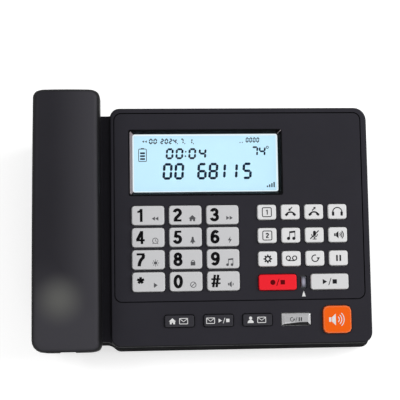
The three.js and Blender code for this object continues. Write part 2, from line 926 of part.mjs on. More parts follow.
function wingBody() {
  const everyRow = [-overrun, deckLength + overrun];
  const slab = onDeck(box(farLeft, wingRight, ...everyRow, wingBottom, wingTop));
  const step = onDeck(box(farLeft, wingRight, ...everyRow, wingBottom, -casing.skirt + ledge.bite));
  const scoopSides = [scoop.start - scoop.wall, scoop.end + scoop.wall];
  const scoopBlock = onDeck(box(farLeft, scoopRight + scoop.wall, ...scoopSides, scoopBottom, wingTop));
  const plan = leftOf(wingRight, planOutline(0));
  const block = leftOf(wingRight, blockOutline(0));
  const plates = solid(slab).add(solid(scoopBlock)).intersect(plan).add(solid(step).intersect(block));
  const cups = [mouthBossY, earBossY].map((y) => {
    return onDeck(prism(cupOutline(y, cup.gap + cup.wall), cupBottom, wingTop));
  });
  const cupHollows = [mouthBossY, earBossY].map((y) => {
    return onDeck(prism(cupOutline(y, cup.gap), cupFloor, overrun));
  });
  const scoopHollow = box(farLeft - overrun, scoopRight, scoop.start, scoop.end, scoopTop, overrun);
  const underScoop = box(
    wingLeft + innerInset,
    scoopRight,
    scoop.start,
    scoop.end,
    scoopBottom - overrun,
    scoopTop - scoop.floor,
  );
  const stemHole = centredRectangle(
    handsetX,
    hookY,
    hook.stemWidth + 2 * key.holeGap,
    hook.stemDepth + 2 * key.holeGap,
    key.holeGap,
  );
  const stemCut = prism(stemHole, wingBottom - overrun, wingTop + overrun);
  const hollows = [scoopHollow, underScoop, stemCut].map(onDeck);
  return cut(joined(plates, cups), [...cupHollows, ...hollows]);
}

function upperShell() {
  const body = deckFrame().add(wingBody());
  const posts = boardPosts().map(onDeck);
  const holeBottom = -panel.thickness - overrun;
  const holes = frontKeys().map((place) => onDeck(prism(keyHole(place), holeBottom, overrun)));
  return geometryOf(cut(joined(body, [...posts, ...pillarPlaces.map(upperPillar)]), holes));
}

addPart(telephone, "upper_shell", upperShell(), finish(colours.deck, 0.5));

// Lower casing

// The front and right walls lean outwards towards the floor. The rear wall stays upright.
function flared(outline) {
  return outline.map(([x, y]) => {
    const across = Math.max((x - blockLeft) / (blockRight - blockLeft), 0);
    return [x + casing.rightFlare * across, y - casing.frontFlare * (1 - y / blockDepth)];
  });
}

function lowerWalls() {
  const steps = 3;
  const rounding = Array.from({ length: steps + 1 }, (unused, step) => {
    const angle = (step / steps) * 90 * degree;
    const inset = casing.seamInset + casing.bottomRadius * (1 - Math.sin(angle));
    const height = floorBottom + casing.bottomRadius * (1 - Math.cos(angle));
    return { outline: flared(planOutline(inset)), height: flat(height) };
  });
  const rim = { outline: planOutline(casing.seamInset), height: level(-casing.skirt - casing.seam) };
  const hollow = prism(planOutline(innerInset), flat(floorTop), level(overrun));
  const wingCut = box(
    farLeft - overrun,
    wingRight + fit,
    -overrun,
    deckLength + overrun,
    wingBottom - casing.seam,
    2 * overrun,
  );
  const scoopCut = box(
    farLeft - overrun,
    scoopRight + scoop.wall + fit,
    scoop.start - scoop.wall - fit,
    scoop.end + scoop.wall + fit,
    scoopBottom - casing.seam,
    2 * overrun,
  );
  return cut(solid(loft([...rounding, rim])), [hollow, onDeck(wingCut), onDeck(scoopCut)]);
}

function lowerPillar([x, y]) {
  const middle = uprightY(y);
  return rod(x, middle, floorBottom + overrun * half, meetHeight(middle) - fit, pillar.lowerRadius);
}

function pillarBore([x, y]) {
  const middle = uprightY(y);
  return rod(x, middle, floorBottom - overrun, meetHeight(middle) - fit - pillar.web, pillar.bore);
}

const bayRear = blockDepth - battery.rearInset;
const bayFront = bayRear - battery.length;
const doorRear = blockDepth - battery.doorRearInset;
const doorFront = doorRear - battery.doorLength;
const doorTop = floorBottom + battery.doorThickness;
const lipTop = floorBottom + battery.lipThickness;

const bayBlockSide = battery.doorWidth * half + battery.tongue + battery.wall;

function bayBlock() {
  const top = floorTop + battery.height + casing.floor;
  const [front, rear] = [doorFront - battery.wall, bayRear + battery.wall];
  return box(-bayBlockSide, bayBlockSide, front, rear, floorBottom, top);
}

function bayCuts() {
  const bay = battery.width * half;
  const doorSide = battery.doorWidth * half + fit;
  const grooveSide = doorSide + battery.tongue;
  const past = blockDepth + overrun;
  return [
    box(-bay, bay, bayFront, bayRear, floorBottom - overrun, floorTop + battery.height),
    box(-doorSide, doorSide, doorFront - fit, past, floorBottom - overrun, lipTop + fit),
    box(-grooveSide, grooveSide, doorFront - fit, past, lipTop, doorTop + fit),
  ];
}

const speakerX = blockRight - speaker.rightInset;
const speakerY = speaker.frontInset;

function speakerHoles() {
  const rings = Array.from({ length: speaker.rings + 1 }, (unused, ring) => ring);
  return rings.flatMap((ring) => {
    const count = Math.max(1, ring * holeSides);
    return Array.from({ length: count }, (unused, index) => {
      const angle = (index * 2 * Math.PI) / count;
      const x = speakerX + ring * speaker.ringPitch * Math.cos(angle);
      const y = speakerY + ring * speaker.ringPitch * Math.sin(angle);
      return rod(x, y, floorBottom - overrun, floorTop + overrun, speaker.hole, holeSides);
    });
  });
}

function speakerCollar() {
  const inside = speaker.radius + 2 * fit;
  const top = floorTop + speaker.collarHeight;
  const ring = solid(rod(speakerX, speakerY, floorTop - overrun, top, inside + speaker.collar, roundSides));
  return ring.subtract(solid(rod(speakerX, speakerY, floorTop, top + overrun, inside, roundSides)));
}

const mainBoardLeft = blockLeft + mainBoard.leftInset;
const mainBoardRight = -bayBlockSide - mainBoard.bayGap;
const mainBoardRear = blockDepth - innerInset - mainBoard.rearGap;
const mainBoardFront = mainBoardRear - mainBoard.length;
const mainBoardBottom = floorTop + mainBoard.standoff + fit;
const mainBoardTop = mainBoardBottom + mainBoard.thickness;

function standoffs() {
  const inset = mainBoard.standoffInset;
  const xs = [mainBoardLeft + inset, mainBoardRight - inset];
  const ys = [mainBoardFront + inset, mainBoardRear - inset];
  const [bottom, top] = [floorTop - overrun, floorTop + mainBoard.standoff];
  return xs.flatMap((x) => ys.map((y) => rod(x, y, bottom, top, mainBoard.standoffRadius)));
}

const microphoneX = blockLeft + microphone.fromLeft;
const microphoneRadiusOut = microphone.radius + microphone.cradle;

function microphoneCradle() {
  const front = innerInset - fit;
  const rear = innerInset + microphone.cradleDepth;
  const block = box(
    microphoneX - microphoneRadiusOut,
    microphoneX + microphoneRadiusOut,
    front,
    rear,
    floorTop - overrun,
    microphone.height,
  );
  const seat = circle(microphoneX, microphone.height, microphone.radius + fit, roundSides);
  const bed = prism(seat, -rear - overrun, -innerInset).rotateX(90 * degree);
  return solid(block).subtract(solid(bed));
}

function microphoneHole() {
  const outline = circle(microphoneX, microphone.height, microphone.hole, holeSides);
  return prism(outline, -innerInset - overrun, overrun).rotateX(90 * degree);
}

// The post under the plunger carries the spring and the switch.
const plungerTop = wingTop + hook.travel - fit;
const plungerFlangeTop = wingBottom - hook.travel - fit;
const plungerFlangeBottom = plungerFlangeTop - hook.flangeThickness;
const springTop = plungerFlangeBottom - fit;
const springBottom = springTop - hook.springHeight;
const postTop = springBottom - fit;

function hookPost() {
  const left = handsetX - hook.flangeLeft;
  const right = handsetX + hook.flangeRight + hook.postMargin;
  const front = uprightY(hookY - hook.flangeDepth * half, postTop);
  const rear = uprightY(hookY + hook.flangeDepth * half, postTop);
  const corners = [
    [left, front],
    [right, front],
    [right, rear],
    [left, rear],
  ];
  const pin = onDeck(rod(handsetX, hookY, postTop - overrun, postTop + hook.pinLength, hook.pinRadius));
  return [prism(corners, flat(floorTop - overrun), level(postTop)), pin];
}

const footPlaces = [
  [wingLeft + foot.sideInset, wing.frontInset + foot.frontInset],
  [blockRight - foot.sideInset, foot.frontInset],
  [blockRight - foot.sideInset, blockDepth - foot.rearInset],
  [wingLeft + foot.sideInset, wingRear - foot.rearInset],
];

const lineSocketX = mainBoardLeft + mainBoard.lineSocketInset;
const powerSocketX = mainBoardRight - mainBoard.powerSocketInset;
const socketBottom = mainBoardTop + fit;
const wallOuterY = blockDepth - casing.seamInset;
const baseSocketX = wingLeft + casing.seamInset;
const baseSocketY = uprightY((scoop.start + scoop.end) * half);
const baseSocketBottom = floorTop + fit;

function socketOpenings() {
  const rear = [wallOuterY - casing.wall - overrun, wallOuterY + overrun];
  const openings = [
    [lineSocketX, lineSocket],
    [powerSocketX, powerSocket],
  ].map(([x, { width, height }]) => {
    const side = width * half + fit;
    return box(x - side, x + side, ...rear, socketBottom - fit, socketBottom + height + fit);
  });
  const side = socket.width * half + fit;
  const left = [baseSocketX - overrun, baseSocketX + casing.wall + overrun];
  const base = box(
    ...left,
    baseSocketY - side,
    baseSocketY + side,
    baseSocketBottom - fit * half,
    baseSocketBottom + socket.height + fit,
  );
  return [...openings, base];
}

function lowerShell() {
  const pins = [...hookPost(), ...standoffs(), bayBlock(), ...pillarPlaces.map(lowerPillar)];
  const body = joined(lowerWalls(), pins).add(speakerCollar()).add(microphoneCradle());
  const recesses = footPlaces.map(([x, y]) =>
    rod(x, y, floorBottom - overrun, floorBottom + foot.recess, foot.radius + fit, roundSides),
  );
  const cuts = [
    ...bayCuts(),
    ...speakerHoles(),
    microphoneHole(),
    ...socketOpenings(),
    ...recesses,
    ...pillarPlaces.map(pillarBore),
  ];
  return geometryOf(cut(body, cuts));
}

addPart(telephone, "lower_shell", lowerShell(), finish(colours.base, 0.55));

// Battery door: a plate with side tongues and grip ribs cut into its outer face
function batteryDoor() {
  const side = battery.doorWidth * half;
  const plate = box(-side, side, doorFront, doorRear, floorBottom, doorTop);
  const reach = side + battery.tongue;
  const tongues = box(-reach, reach, doorFront, doorRear, doorTop - battery.tongueThickness, doorTop);
  const grooves = Array.from({ length: battery.gripCount }, (unused, index) => {
    const y = doorRear - battery.gripInset - index * battery.gripPitch;
    const grip = battery.gripWidth * half;
    const top = floorBottom + battery.gripDepth * half;
    return box(-grip, grip, y, y + battery.gripDepth, floorBottom - overrun, top);
  });
  return geometryOf(cut(joined(solid(plate), [tongues]), grooves));
}

addPart(telephone, "battery_door", batteryDoor(), finish(colours.base, 0.55));

// Feet
footPlaces.forEach(([x, y], index) => {
  const top = floorBottom + foot.recess - fit;
  const profile = [
    [0, 0],
    [foot.radius - foot.rim, 0],
    [foot.radius, foot.rim],
    [foot.radius, top],
    [0, top],
  ];
  const mesh = addPart(telephone, `foot_${index + 1}`, turned(profile), finish(colours.rubber, 0.9));
  mesh.position.set(x, y, 0);
});

// Inside the base: main board, loudspeaker, microphone

// Shares of the length that the sockets leave free on the board
const chipRowShares = [0.29, 0.575];
const coilShare = 0.81;

function mainCircuitBoard() {
  const plateSides = [mainBoardLeft, mainBoardRight, mainBoardFront, mainBoardRear];
  const plate = box(...plateSides, mainBoardBottom, mainBoardTop);
  const free = wallOuterY - Math.max(lineSocket.depth, powerSocket.depth) - mainBoardFront;
  const foot = mainBoardTop - fit;
  const chipLeft = (mainBoardLeft + mainBoardRight) * half;
  const chipRight = chipLeft + mainBoard.chip;
  const chipTop = mainBoardTop + mainBoard.chipHeight;
  const rows = chipRowShares.map((share) => mainBoardFront + free * share);
  const chips = rows.map((y) => {
    return box(chipLeft, chipRight, y, y + mainBoard.chip * half, foot, chipTop);
  });
  const canX = mainBoardLeft + 2 * mainBoard.canRadius;
  const canTop = mainBoardTop + mainBoard.canHeight;
  const cans = rows.map((y) => rod(canX, y, foot, canTop, mainBoard.canRadius));
  const coilRight = mainBoardRight - mainBoard.standoffInset;
  const coilMiddle = mainBoardFront + free * coilShare;
  const coil = box(
    coilRight - mainBoard.coilWidth,
    coilRight,
    coilMiddle - mainBoard.coilDepth * half,
    coilMiddle + mainBoard.coilDepth * half,
    foot,
    mainBoardTop + mainBoard.coilHeight,
  );
  return geometryOf(joined(solid(plate), [...chips, ...cans, coil]));
}

addPart(telephone, "main_board", mainCircuitBoard(), finish(colours.board, 0.6));

function loudspeaker() {
  const base = floorTop + fit;
  const flangeHeight = base + speaker.flange;
  const coneTop = base + speaker.coneDepth;
  return turned([
    [0, base + speaker.flange],
    [speaker.magnetRadius, base + speaker.flange],
    [speaker.radius - speaker.collar, base],
    [speaker.radius, base],
    [speaker.radius, flangeHeight],
    [speaker.magnetRadius, coneTop],
    [speaker.magnetRadius, coneTop + speaker.magnetHeight],
    [0, coneTop + speaker.magnetHeight],
  ]);
}

const speakerMesh = addPart(
  telephone,
  "loudspeaker",
  loudspeaker(),
  finish(colours.metal, 0.4, 0.6),
);
speakerMesh.position.set(speakerX, speakerY, 0);

function capsuleBody({ radius, length }) {
  return turned([
    [0, 0],
    [radius, 0],
    [radius, length],
    [0, length],
  ]);
}

const deskMicrophone = addPart(
  telephone,
  "desk_microphone",
  capsuleBody(microphone),
  finish(colours.metal, 0.4, 0.8),
);
deskMicrophone.rotation.x = -90 * degree;
deskMicrophone.position.set(microphoneX, innerInset + fit, microphone.height);

// Sockets: a block with a square mouth that faces the front of its own frame

function modularSocket({ width, height, depth, mouthWidth, mouthHeight, mouthDepth }) {
  const side = width * half;
  const mouth = mouthWidth * half;
  const mouthBottom = (height - mouthHeight) * half;
  const key = mouth * half;
  const block = box(-side, side, 0, depth, 0, height);
  const hollow = box(-mouth, mouth, -overrun, mouthDepth, mouthBottom, mouthBottom + mouthHeight);
  const latch = box(-key, key, -overrun, mouthDepth, mouthBottom * half, mouthBottom + overrun);
  return geometryOf(cut(solid(block), [hollow, latch]));
}

function barrelSocket({ width, height, depth, mouthRadius, pinRadius, mouthDepth }) {
  const side = width * half;
  const middle = height * half;
  const along = (outline, from, to) => prism(outline, -to, -from).rotateX(90 * degree);
  const block = box(-side, side, 0, depth, 0, height);
  const hollow = along(circle(0, middle, mouthRadius, roundSides), -overrun, mouthDepth);
  const pin = along(circle(0, middle, pinRadius, smallSides), overrun, mouthDepth + overrun);
  return geometryOf(cut(solid(block), [hollow]).add(solid(pin)));
}

const lineSocketMesh = addPart(
  telephone,
  "line_socket",
  modularSocket(lineSocket),
  finish(colours.socket, 0.5),
);
lineSocketMesh.rotation.z = 180 * degree;
lineSocketMesh.position.set(lineSocketX, wallOuterY, socketBottom);

const powerSocketMesh = addPart(
  telephone,
  "power_socket",
  barrelSocket(powerSocket),
  finish(colours.socket, 0.5),
);
powerSocketMesh.rotation.z = 180 * degree;
powerSocketMesh.position.set(powerSocketX, wallOuterY, socketBottom);

const baseSocketMesh = addPart(
  telephone,
  "base_handset_socket",
  modularSocket(socket),
  finish(colours.socket, 0.5),
);
baseSocketMesh.rotation.z = -90 * degree;
baseSocketMesh.position.set(baseSocketX, baseSocketY, baseSocketBottom);

// Hook plunger with its spring and switch, square to the deck

function hookPlunger() {
  const stem = box(
    -hook.stemWidth * half,
    hook.stemWidth * half,
    -hook.stemDepth * half,
    hook.stemDepth * half,
    plungerFlangeBottom + hook.flangeThickness * half,
    plungerTop,
  );
  const flange = box(
    -hook.flangeLeft,
    hook.flangeRight,
    -hook.flangeDepth * half,
    hook.flangeDepth * half,
    plungerFlangeBottom,
    plungerFlangeTop,
  );
  const pinBottom = plungerFlangeBottom - hook.pinLength;
  return geometryOf(joined(solid(stem), [flange, rod(0, 0, pinBottom, plungerFlangeTop, hook.pinRadius)]));
}

const plungerMesh = addPart(deck, "hook_plunger", hookPlunger(), finish(colours.dark, 0.5));
plungerMesh.position.set(handsetX, hookY, 0);

// Coil of round wire, with a flat ring of points at every step along its helix
function coilSpring({ radius, wire, turns, height }) {
  const sides = 5;
  const stepsPerTurn = 8;
  const steps = turns * stepsPerTurn;
  const rise = height - 2 * wire;
  const outlines = Array.from({ length: steps + 1 }, (unused, step) => {
    const angle = (step / steps) * turns * 2 * Math.PI;
    const outward = new THREE.Vector3(Math.cos(angle), Math.sin(angle), 0);
    const centre = outward.clone().multiplyScalar(radius).setZ(wire + (rise * step) / steps);
    const lead = rise / (turns * 2 * Math.PI * radius);
    const along = new THREE.Vector3(-Math.sin(angle), Math.cos(angle), lead);
    const upward = outward.clone().cross(along.normalize());
    return Array.from({ length: sides }, (skip, side) => {
      const turn = (side / sides) * 2 * Math.PI;
      const offset = outward.clone().multiplyScalar(wire * Math.cos(turn));
      return centre.clone().add(offset).addScaledVector(upward, wire * Math.sin(turn));
    });
  });
  const indices = [];
  for (let step = 0; step < steps; step += 1) {
    for (let side = 0; side < sides; side += 1) {
      const next = (side + 1) % sides;
      const [a, b] = [step * sides + side, step * sides + next];
      indices.push(a, b + sides, b, a, a + sides, b + sides);
    }
  }
  for (let side = 1; side < sides - 1; side += 1) {
    const last = steps * sides;
    indices.push(0, side, side + 1, last, last + side + 1, last + side);
  }
  const geometry = new THREE.BufferGeometry().setFromPoints(outlines.flat());
  geometry.setIndex(indices);
  geometry.computeVertexNormals();
  return geometry;
}

const springSize = {
  radius: hook.springRadius,
  wire: hook.wireRadius,
  turns: hook.turns,
  height: hook.springHeight,
};
const springMesh = addPart(
  deck,
  "hook_spring",
  coilSpring(springSize),
  finish(colours.metal, 0.3, 0.9),
);
springMesh.position.set(handsetX, hookY, springBottom);

function hookSwitch() {
  const [side, depth] = [hook.switchWidth * half, hook.switchDepth * half];
  const button = hook.buttonSide * half;
  const bodyTop = springTop - hook.buttonHeight;
  const body = box(-side, side, -depth, depth, springBottom, bodyTop);
  return geometryOf(joined(solid(body), [box(-button, button, -button, button, bodyTop - fit, springTop)]));
}

const switchMesh = addPart(deck, "hook_switch", hookSwitch(), finish(colours.socket, 0.5));
switchMesh.position.set(handsetX + hook.switchOffset, hookY, 0);

// Handset, drawn on its own frame: X across, Y along the deck, Z up from the bosses' feet

// Height lost at a distance from an end or edge that is rounded off.
function roundingDrop(distance, radius) {
  return distance < radius ? radius - Math.sqrt(radius ** 2 - (radius - distance) ** 2) : 0;
}

// Cross-section: a rounded rectangle whose upper half is crowned.
function handsetSection(halfWidth, bottom, top, edge, lowerEdge) {
  const sides = [-halfWidth, halfWidth];
  const points = roundedRectangle(...sides, bottom, top, [lowerEdge, lowerEdge, edge, edge], arcStep * 2);
  const cornerEnd = points.length - points.length / 4;
  const ridge = [half, 0, -half].map((share) => [share * (halfWidth - edge), top]);
  const all = [...points.slice(0, cornerEnd), ...ridge, ...points.slice(cornerEnd)];
  const middle = (bottom + top) * half;
  return all.map(([x, height]) => {
    const crowned = height > middle ? handset.crown * (1 - (x / halfWidth) ** 2) : 0;
    return [x, height + crowned];
  });
}

// Top of the arched handset along its middle line.
function ridgeHeight(y) {
  const along = (y - handsetMiddle) / (handsetRear - handsetMiddle);
  return handset.top - handset.arch * along ** 2;
}

// The handset narrows evenly from its front end to its rear end.
function handsetWidth(y) {
  const along = (y - handsetFront) / (handsetRear - handsetFront);
  return handset.width - handset.rearNarrowing * along;
}

const endShares = [0, 0.08, 0.22, 0.45, 0.72, 1];
const middleSteps = 8;

function handsetStations(inset) {
  const front = handsetFront + inset;
  const rear = handsetRear - inset;
  const frontRadius = handset.frontLeftRadius - inset;
  const rearRadius = handset.rearPlanRadius - inset;
  const starts = endShares.map((share) => front + share * frontRadius);
  const ends = endShares.map((share) => rear - share * rearRadius).reverse();
  const span = rear - front - frontRadius - rearRadius;
  const middles = Array.from({ length: middleSteps - 1 }, (unused, index) => {
    return front + frontRadius + (span * (index + 1)) / middleSteps;
  });
  return [...starts, ...middles, ...ends];
}

function handsetBody(inset) {
  const front = handsetFront + inset;
  const rear = handsetRear - inset;
  const leftRadius = handset.frontLeftRadius - inset;
  const rightRadius = handset.frontRightRadius - inset;
  const rearRadius = handset.rearPlanRadius - inset;
  const edge = handset.topRadius - inset;
  const lowerEdge = handset.undersideRadius - inset;
  const rings = handsetStations(inset)
    .reverse()
    .map((y) => {
      const fromEnd = Math.min(y - front, rear - y);
      const [left, right] = [leftRadius, rightRadius].map((radius) => {
        return roundingDrop(y - front, radius) + roundingDrop(rear - y, rearRadius);
      });
      const halfWidth = handsetWidth(y) * half - inset - (left + right) * half;
      const sideways = (left - right) * half;
      const top = ridgeHeight(y) - handset.crown - inset - roundingDrop(fromEnd, edge);
      const bottom = handset.underside + inset + roundingDrop(fromEnd, lowerEdge);
      const section = handsetSection(halfWidth, bottom, top, edge, lowerEdge);
      return { outline: section.map(([x, z]) => [x + sideways, z]), height: flat(-y) };
    });
  return loft(rings).rotateX(90 * degree);
}

const wide = handset.width;
const handsetPillarReach = handset.bossDepth * half + handset.pillarRadius + handset.pillarGap;
const handsetPillarPlaces = [mouthBossY + handsetPillarReach, earBossY + handsetPillarReach];

function handsetHalf(bottom, top) {
  const area = box(-wide, wide, handsetFront - overrun, handsetRear + overrun, bottom, top);
  return solid(handsetBody(0)).intersect(solid(area));
}

function notchCuts() {
  const side = handset.notchWidth * half;
  const rear = handsetFront + handset.notchDepth;
  const sides = [handset.notchOffset - side, handset.notchOffset + side];
  const notch = box(...sides, handsetFront - overrun, rear, handset.notchBottom, handset.notchTop);
  const socketSide = socket.width * half + fit;
  const socketSides = [handset.notchOffset - socketSide, handset.notchOffset + socketSide];
  const inside = rear + handset.wall + overrun;
  const bottom = handset.underside + handset.wall;
  const top = bottom + socket.height + 2 * fit;
  const mouth = box(...socketSides, handsetFront, inside, bottom, top);
  return [notch, mouth];
}

function handsetOuterShell() {
  const body = cut(handsetHalf(handset.parting, handset.top + overrun), [handsetBody(handset.wall)]);
  const pillars = handsetPillarPlaces.map((y) =>
    rod(0, y, handset.parting, ridgeHeight(y) - handset.wall * half, handset.pillarRadius),
  );
  return geometryOf(cut(joined(body, pillars), notchCuts()));
}

function bossOutline(y, inset) {
  const [width, depth] = [handset.bossWidth - 2 * inset, handset.bossDepth - 2 * inset];
  return centredRectangle(0, y, width, depth, handset.bossRadius - inset, arcStep * 2);
}

const bossEdgeShare = 0.3;

function boss(y) {
  const edgeStep = handset.bossEdge * bossEdgeShare;
  return loft([
    { outline: bossOutline(y, handset.bossEdge), height: flat(0) },
    { outline: bossOutline(y, edgeStep), height: flat(edgeStep) },
    { outline: bossOutline(y, 0), height: flat(handset.bossEdge) },
    { outline: bossOutline(y, 0), height: flat(handset.underside + handset.wall * half) },
  ]);
}

function soundHoles(y, count, ring) {
  const places = [[0, y], ...circle(0, y, ring, count)];
  const top = handset.bossWall + overrun;
  return places.map(([x, along]) => rod(x, along, -overrun, top, handset.soundHole, holeSides));
}

function handsetInnerShell() {
  const lowerHalf = handsetHalf(handset.underside - overrun, handset.parting - fit);
  const shell = cut(lowerHalf, [handsetBody(handset.wall)]);
  const bosses = [mouthBossY, earBossY];
  const hollows = bosses.map((y) =>
    prism(bossOutline(y, handset.bossWall), handset.bossWall, handset.underside + handset.wall + overrun),
  );
  const pillars = handsetPillarPlaces.map((y) =>
    rod(0, y, handset.underside + handset.wall * half, handset.parting - fit, handset.pillarRadius),
  );
  const holes = [
    ...soundHoles(earBossY, holeSides, handset.soundRing),
    ...soundHoles(mouthBossY, 2, capsule.radius * half),
  ];
  const body = cut(joined(shell, bosses.map(boss)), [...hollows, ...holes]);
  return geometryOf(cut(joined(body, pillars), notchCuts()));
}

function earpieceBody() {
  const bottom = handset.bossWall + fit;
  const { radius, height, rim, rimHeight } = earpiece;
  return turned([
    [0, bottom],
    [radius, bottom],
    [radius, bottom + rimHeight],
    [radius - rim, bottom + rimHeight],
    [radius - 2 * rim, bottom + height],
    [0, bottom + height],
  ]);
}

function handsetMicrophone() {
  const bottom = handset.bossWall + fit;
  const { radius, height, lip, lipHeight } = capsule;
  return turned([
    [0, bottom],
    [radius, bottom],
    [radius, bottom + height - lipHeight],
    [radius - lip, bottom + height],
    [0, bottom + height],
  ]);
}

addPart(handsetGroup, "handset_outer_shell", handsetOuterShell(), finish(colours.handset, 0.5));
addPart(handsetGroup, "handset_inner_shell", handsetInnerShell(), finish(colours.handset, 0.5));
const handsetEarpieceMesh = addPart(
  handsetGroup,
  "handset_earpiece",
  earpieceBody(),
  finish(colours.metal, 0.4, 0.6),
);
handsetEarpieceMesh.position.y = earBossY;
const handsetMicrophoneMesh = addPart(
  handsetGroup,
  "handset_microphone",
  handsetMicrophone(),
  finish(colours.metal, 0.4, 0.8),
);
handsetMicrophoneMesh.position.y = mouthBossY;
const handsetSocket = addPart(
  handsetGroup,
  "handset_socket",
  modularSocket(socket),
  finish(colours.socket, 0.5),
);
handsetSocket.position.set(
  handset.notchOffset,
  handsetFront + handset.notchDepth,
  handset.underside + handset.wall + fit,
);

// The origin is the middle of the footprint, on the surface that the feet stand on.
telephone.updateMatrixWorld(true);
const bounds = new THREE.Box3().setFromObject(telephone, true);
const centre = bounds.getCenter(new THREE.Vector3());
telephone.position.set(-centre.x, -centre.y, -bounds.min.z);

export default telephone;
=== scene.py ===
import json
import math

import bmesh
import bpy
import numpy as np
from bpy.props import FloatProperty, FloatVectorProperty, PointerProperty
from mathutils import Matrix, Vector

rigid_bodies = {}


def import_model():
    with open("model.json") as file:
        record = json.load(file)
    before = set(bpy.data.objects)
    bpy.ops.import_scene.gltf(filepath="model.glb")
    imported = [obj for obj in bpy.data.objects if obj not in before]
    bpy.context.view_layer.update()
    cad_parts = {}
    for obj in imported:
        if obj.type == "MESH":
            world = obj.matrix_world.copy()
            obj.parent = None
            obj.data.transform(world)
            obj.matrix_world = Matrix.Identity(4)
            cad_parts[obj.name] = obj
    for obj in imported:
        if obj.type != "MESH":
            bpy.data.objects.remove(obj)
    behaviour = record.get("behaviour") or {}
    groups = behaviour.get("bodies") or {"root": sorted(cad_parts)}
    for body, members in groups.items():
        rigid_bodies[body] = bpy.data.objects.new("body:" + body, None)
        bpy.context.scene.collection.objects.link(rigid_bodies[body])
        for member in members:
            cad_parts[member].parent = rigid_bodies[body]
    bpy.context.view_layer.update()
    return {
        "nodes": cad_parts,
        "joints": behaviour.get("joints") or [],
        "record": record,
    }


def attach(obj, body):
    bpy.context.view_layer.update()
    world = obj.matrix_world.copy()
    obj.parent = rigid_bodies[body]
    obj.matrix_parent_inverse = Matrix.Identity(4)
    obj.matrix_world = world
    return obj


bl_info = {
    "name": "Recording telephone looks",
    "version": (1, 0, 0),
    "blender": (4, 5, 0),
    "location": "3D View > Sidebar > Telephone",
    "description": "Finishes, key legends, display figures and studio for a desk telephone",
    "category": "Object",
}

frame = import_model()

MM = 0.001
RIGHT, UP, OUT = 0, 1, 2
DIAL_FIGURES = ("1", "2", "3", "4", "5", "6", "7", "8", "9", "star", "0", "hash")


def shade(red, green, blue):
    """Display values from 0 to 255 as linear light: c / 12.92 below the toe, a power of 2.4 above."""
    values = np.array([red, green, blue]) / 255
    toe = values / 12.92
    curve = ((values + 0.055) / 1.055) ** 2.4
    return tuple(float(v) for v in np.where(values <= 0.04045, toe, curve))


# Directions and boxes on the sloping deck

def deck_directions():
    """Rows: right, up the slope, and square out of the deck, which is the way the handset lifts."""
    lift = next(joint for joint in frame["joints"] if joint["name"] == "handset_lift")
    outward = np.array(lift["axis"], float)
    outward /= np.linalg.norm(outward)
    right = np.array([1.0, 0.0, 0.0])
    return np.stack([right, np.cross(outward, right), outward])


DECK = deck_directions()


def deck_points(node):
    """All points of a node, measured along the deck's three directions."""
    mesh = frame["nodes"][node].data
    points = np.empty(len(mesh.vertices) * 3, np.float32)
    mesh.vertices.foreach_get("co", points)
    return points.reshape(-1, 3).astype(float) @ DECK.T


def deck_box(node):
    """Lowest and highest corner of a node, measured along the deck's three directions."""
    points = deck_points(node)
    return points.min(0), points.max(0)


def glass_level():
    """Height of the display's glass along the deck's normal: the module's highest points below the window."""
    heights = deck_points("display_module")[:, OUT]
    return float(heights[heights < deck_box("display_window")[0][OUT]].max())


def from_deck(points):
    """Points given along the deck's directions, as points of the frame."""
    return np.asarray(points, float) @ DECK


# Meshes from arrays

def new_piece(name, points, faces, material, body):
    """An object at the origin with its place in its mesh, which rides on a body."""
    mesh = bpy.data.meshes.new(name)
    mesh.from_pydata(np.asarray(points, float).tolist(), [], [list(map(int, face)) for face in faces])
    mesh.update()
    piece = bpy.data.objects.new(name, mesh)
    bpy.context.scene.collection.objects.link(piece)
    mesh.materials.append(material)
    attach(piece, body)
    return piece


def grid_faces(rows, columns, wrap=False):
    """Quads of a grid whose points run row by row. With wrap, the last column meets the first."""
    spans = columns if wrap else columns - 1
    row, column = np.meshgrid(np.arange(rows - 1), np.arange(spans), indexing="ij")
    following = (column + 1) % columns
    corners = [row * columns + column, row * columns + following]
    corners += [(row + 1) * columns + following, (row + 1) * columns + column]
    return np.stack([corner.ravel() for corner in corners], 1)


# Flat shapes for legends, in millimetres: each is (points, faces)

def outline_shape(points):
    """One flat face inside a closed outline."""
    points = np.asarray(points, float)
    return points, np.arange(len(points))[None]


def arc_points(x, y, across, up, start, end, count=24):
    """Points (x + across cos a, y + up sin a) for angles a from start to end in degrees."""
    angle = np.radians(np.linspace(start, end, count))
    return np.stack([x + across * np.cos(angle), y + up * np.sin(angle)], 1)


def oval_points(x, y, across, up, count):
    """The arc's points all the way round, without the last one, which would double the first."""
    return arc_points(x, y, across, up, 0, 360, count + 1)[:-1]


def disc(x, y, radius, count=28):
    """Filled circle about (x, y)."""
    return outline_shape(oval_points(x, y, radius, radius, count))


def stroke(points, width, closed=False):
    """Band along a line: each point moved half a width along the line's normal there, each way.
    The line's direction at a point is that of the step from the point before to the one after."""
    points = np.asarray(points, float)
    if closed:
        along = np.roll(points, -1, 0) - np.roll(points, 1, 0)
    else:
        along = np.gradient(points, axis=0)
    along /= np.linalg.norm(along, axis=1, keepdims=True)
    normal = np.stack([-along[:, 1], along[:, 0]], 1) * width / 2
    band = np.stack([points - normal, points + normal]).reshape(-1, 2)
    return band, grid_faces(2, len(points), wrap=closed)


def ring(x, y, radius, line, start=0, end=360, count=28):
    """Circle or arc about (x, y), as a band of the line's width."""
    if end - start == 360:
        return stroke(oval_points(x, y, radius, radius, count), line, closed=True)
    return stroke(arc_points(x, y, radius, radius, start, end, count), line)


def bar(x0, y0, x1, y1, width):
    """Straight band from (x0, y0) to (x1, y1)."""
    return stroke([(x0, y0), (x1, y1)], width)


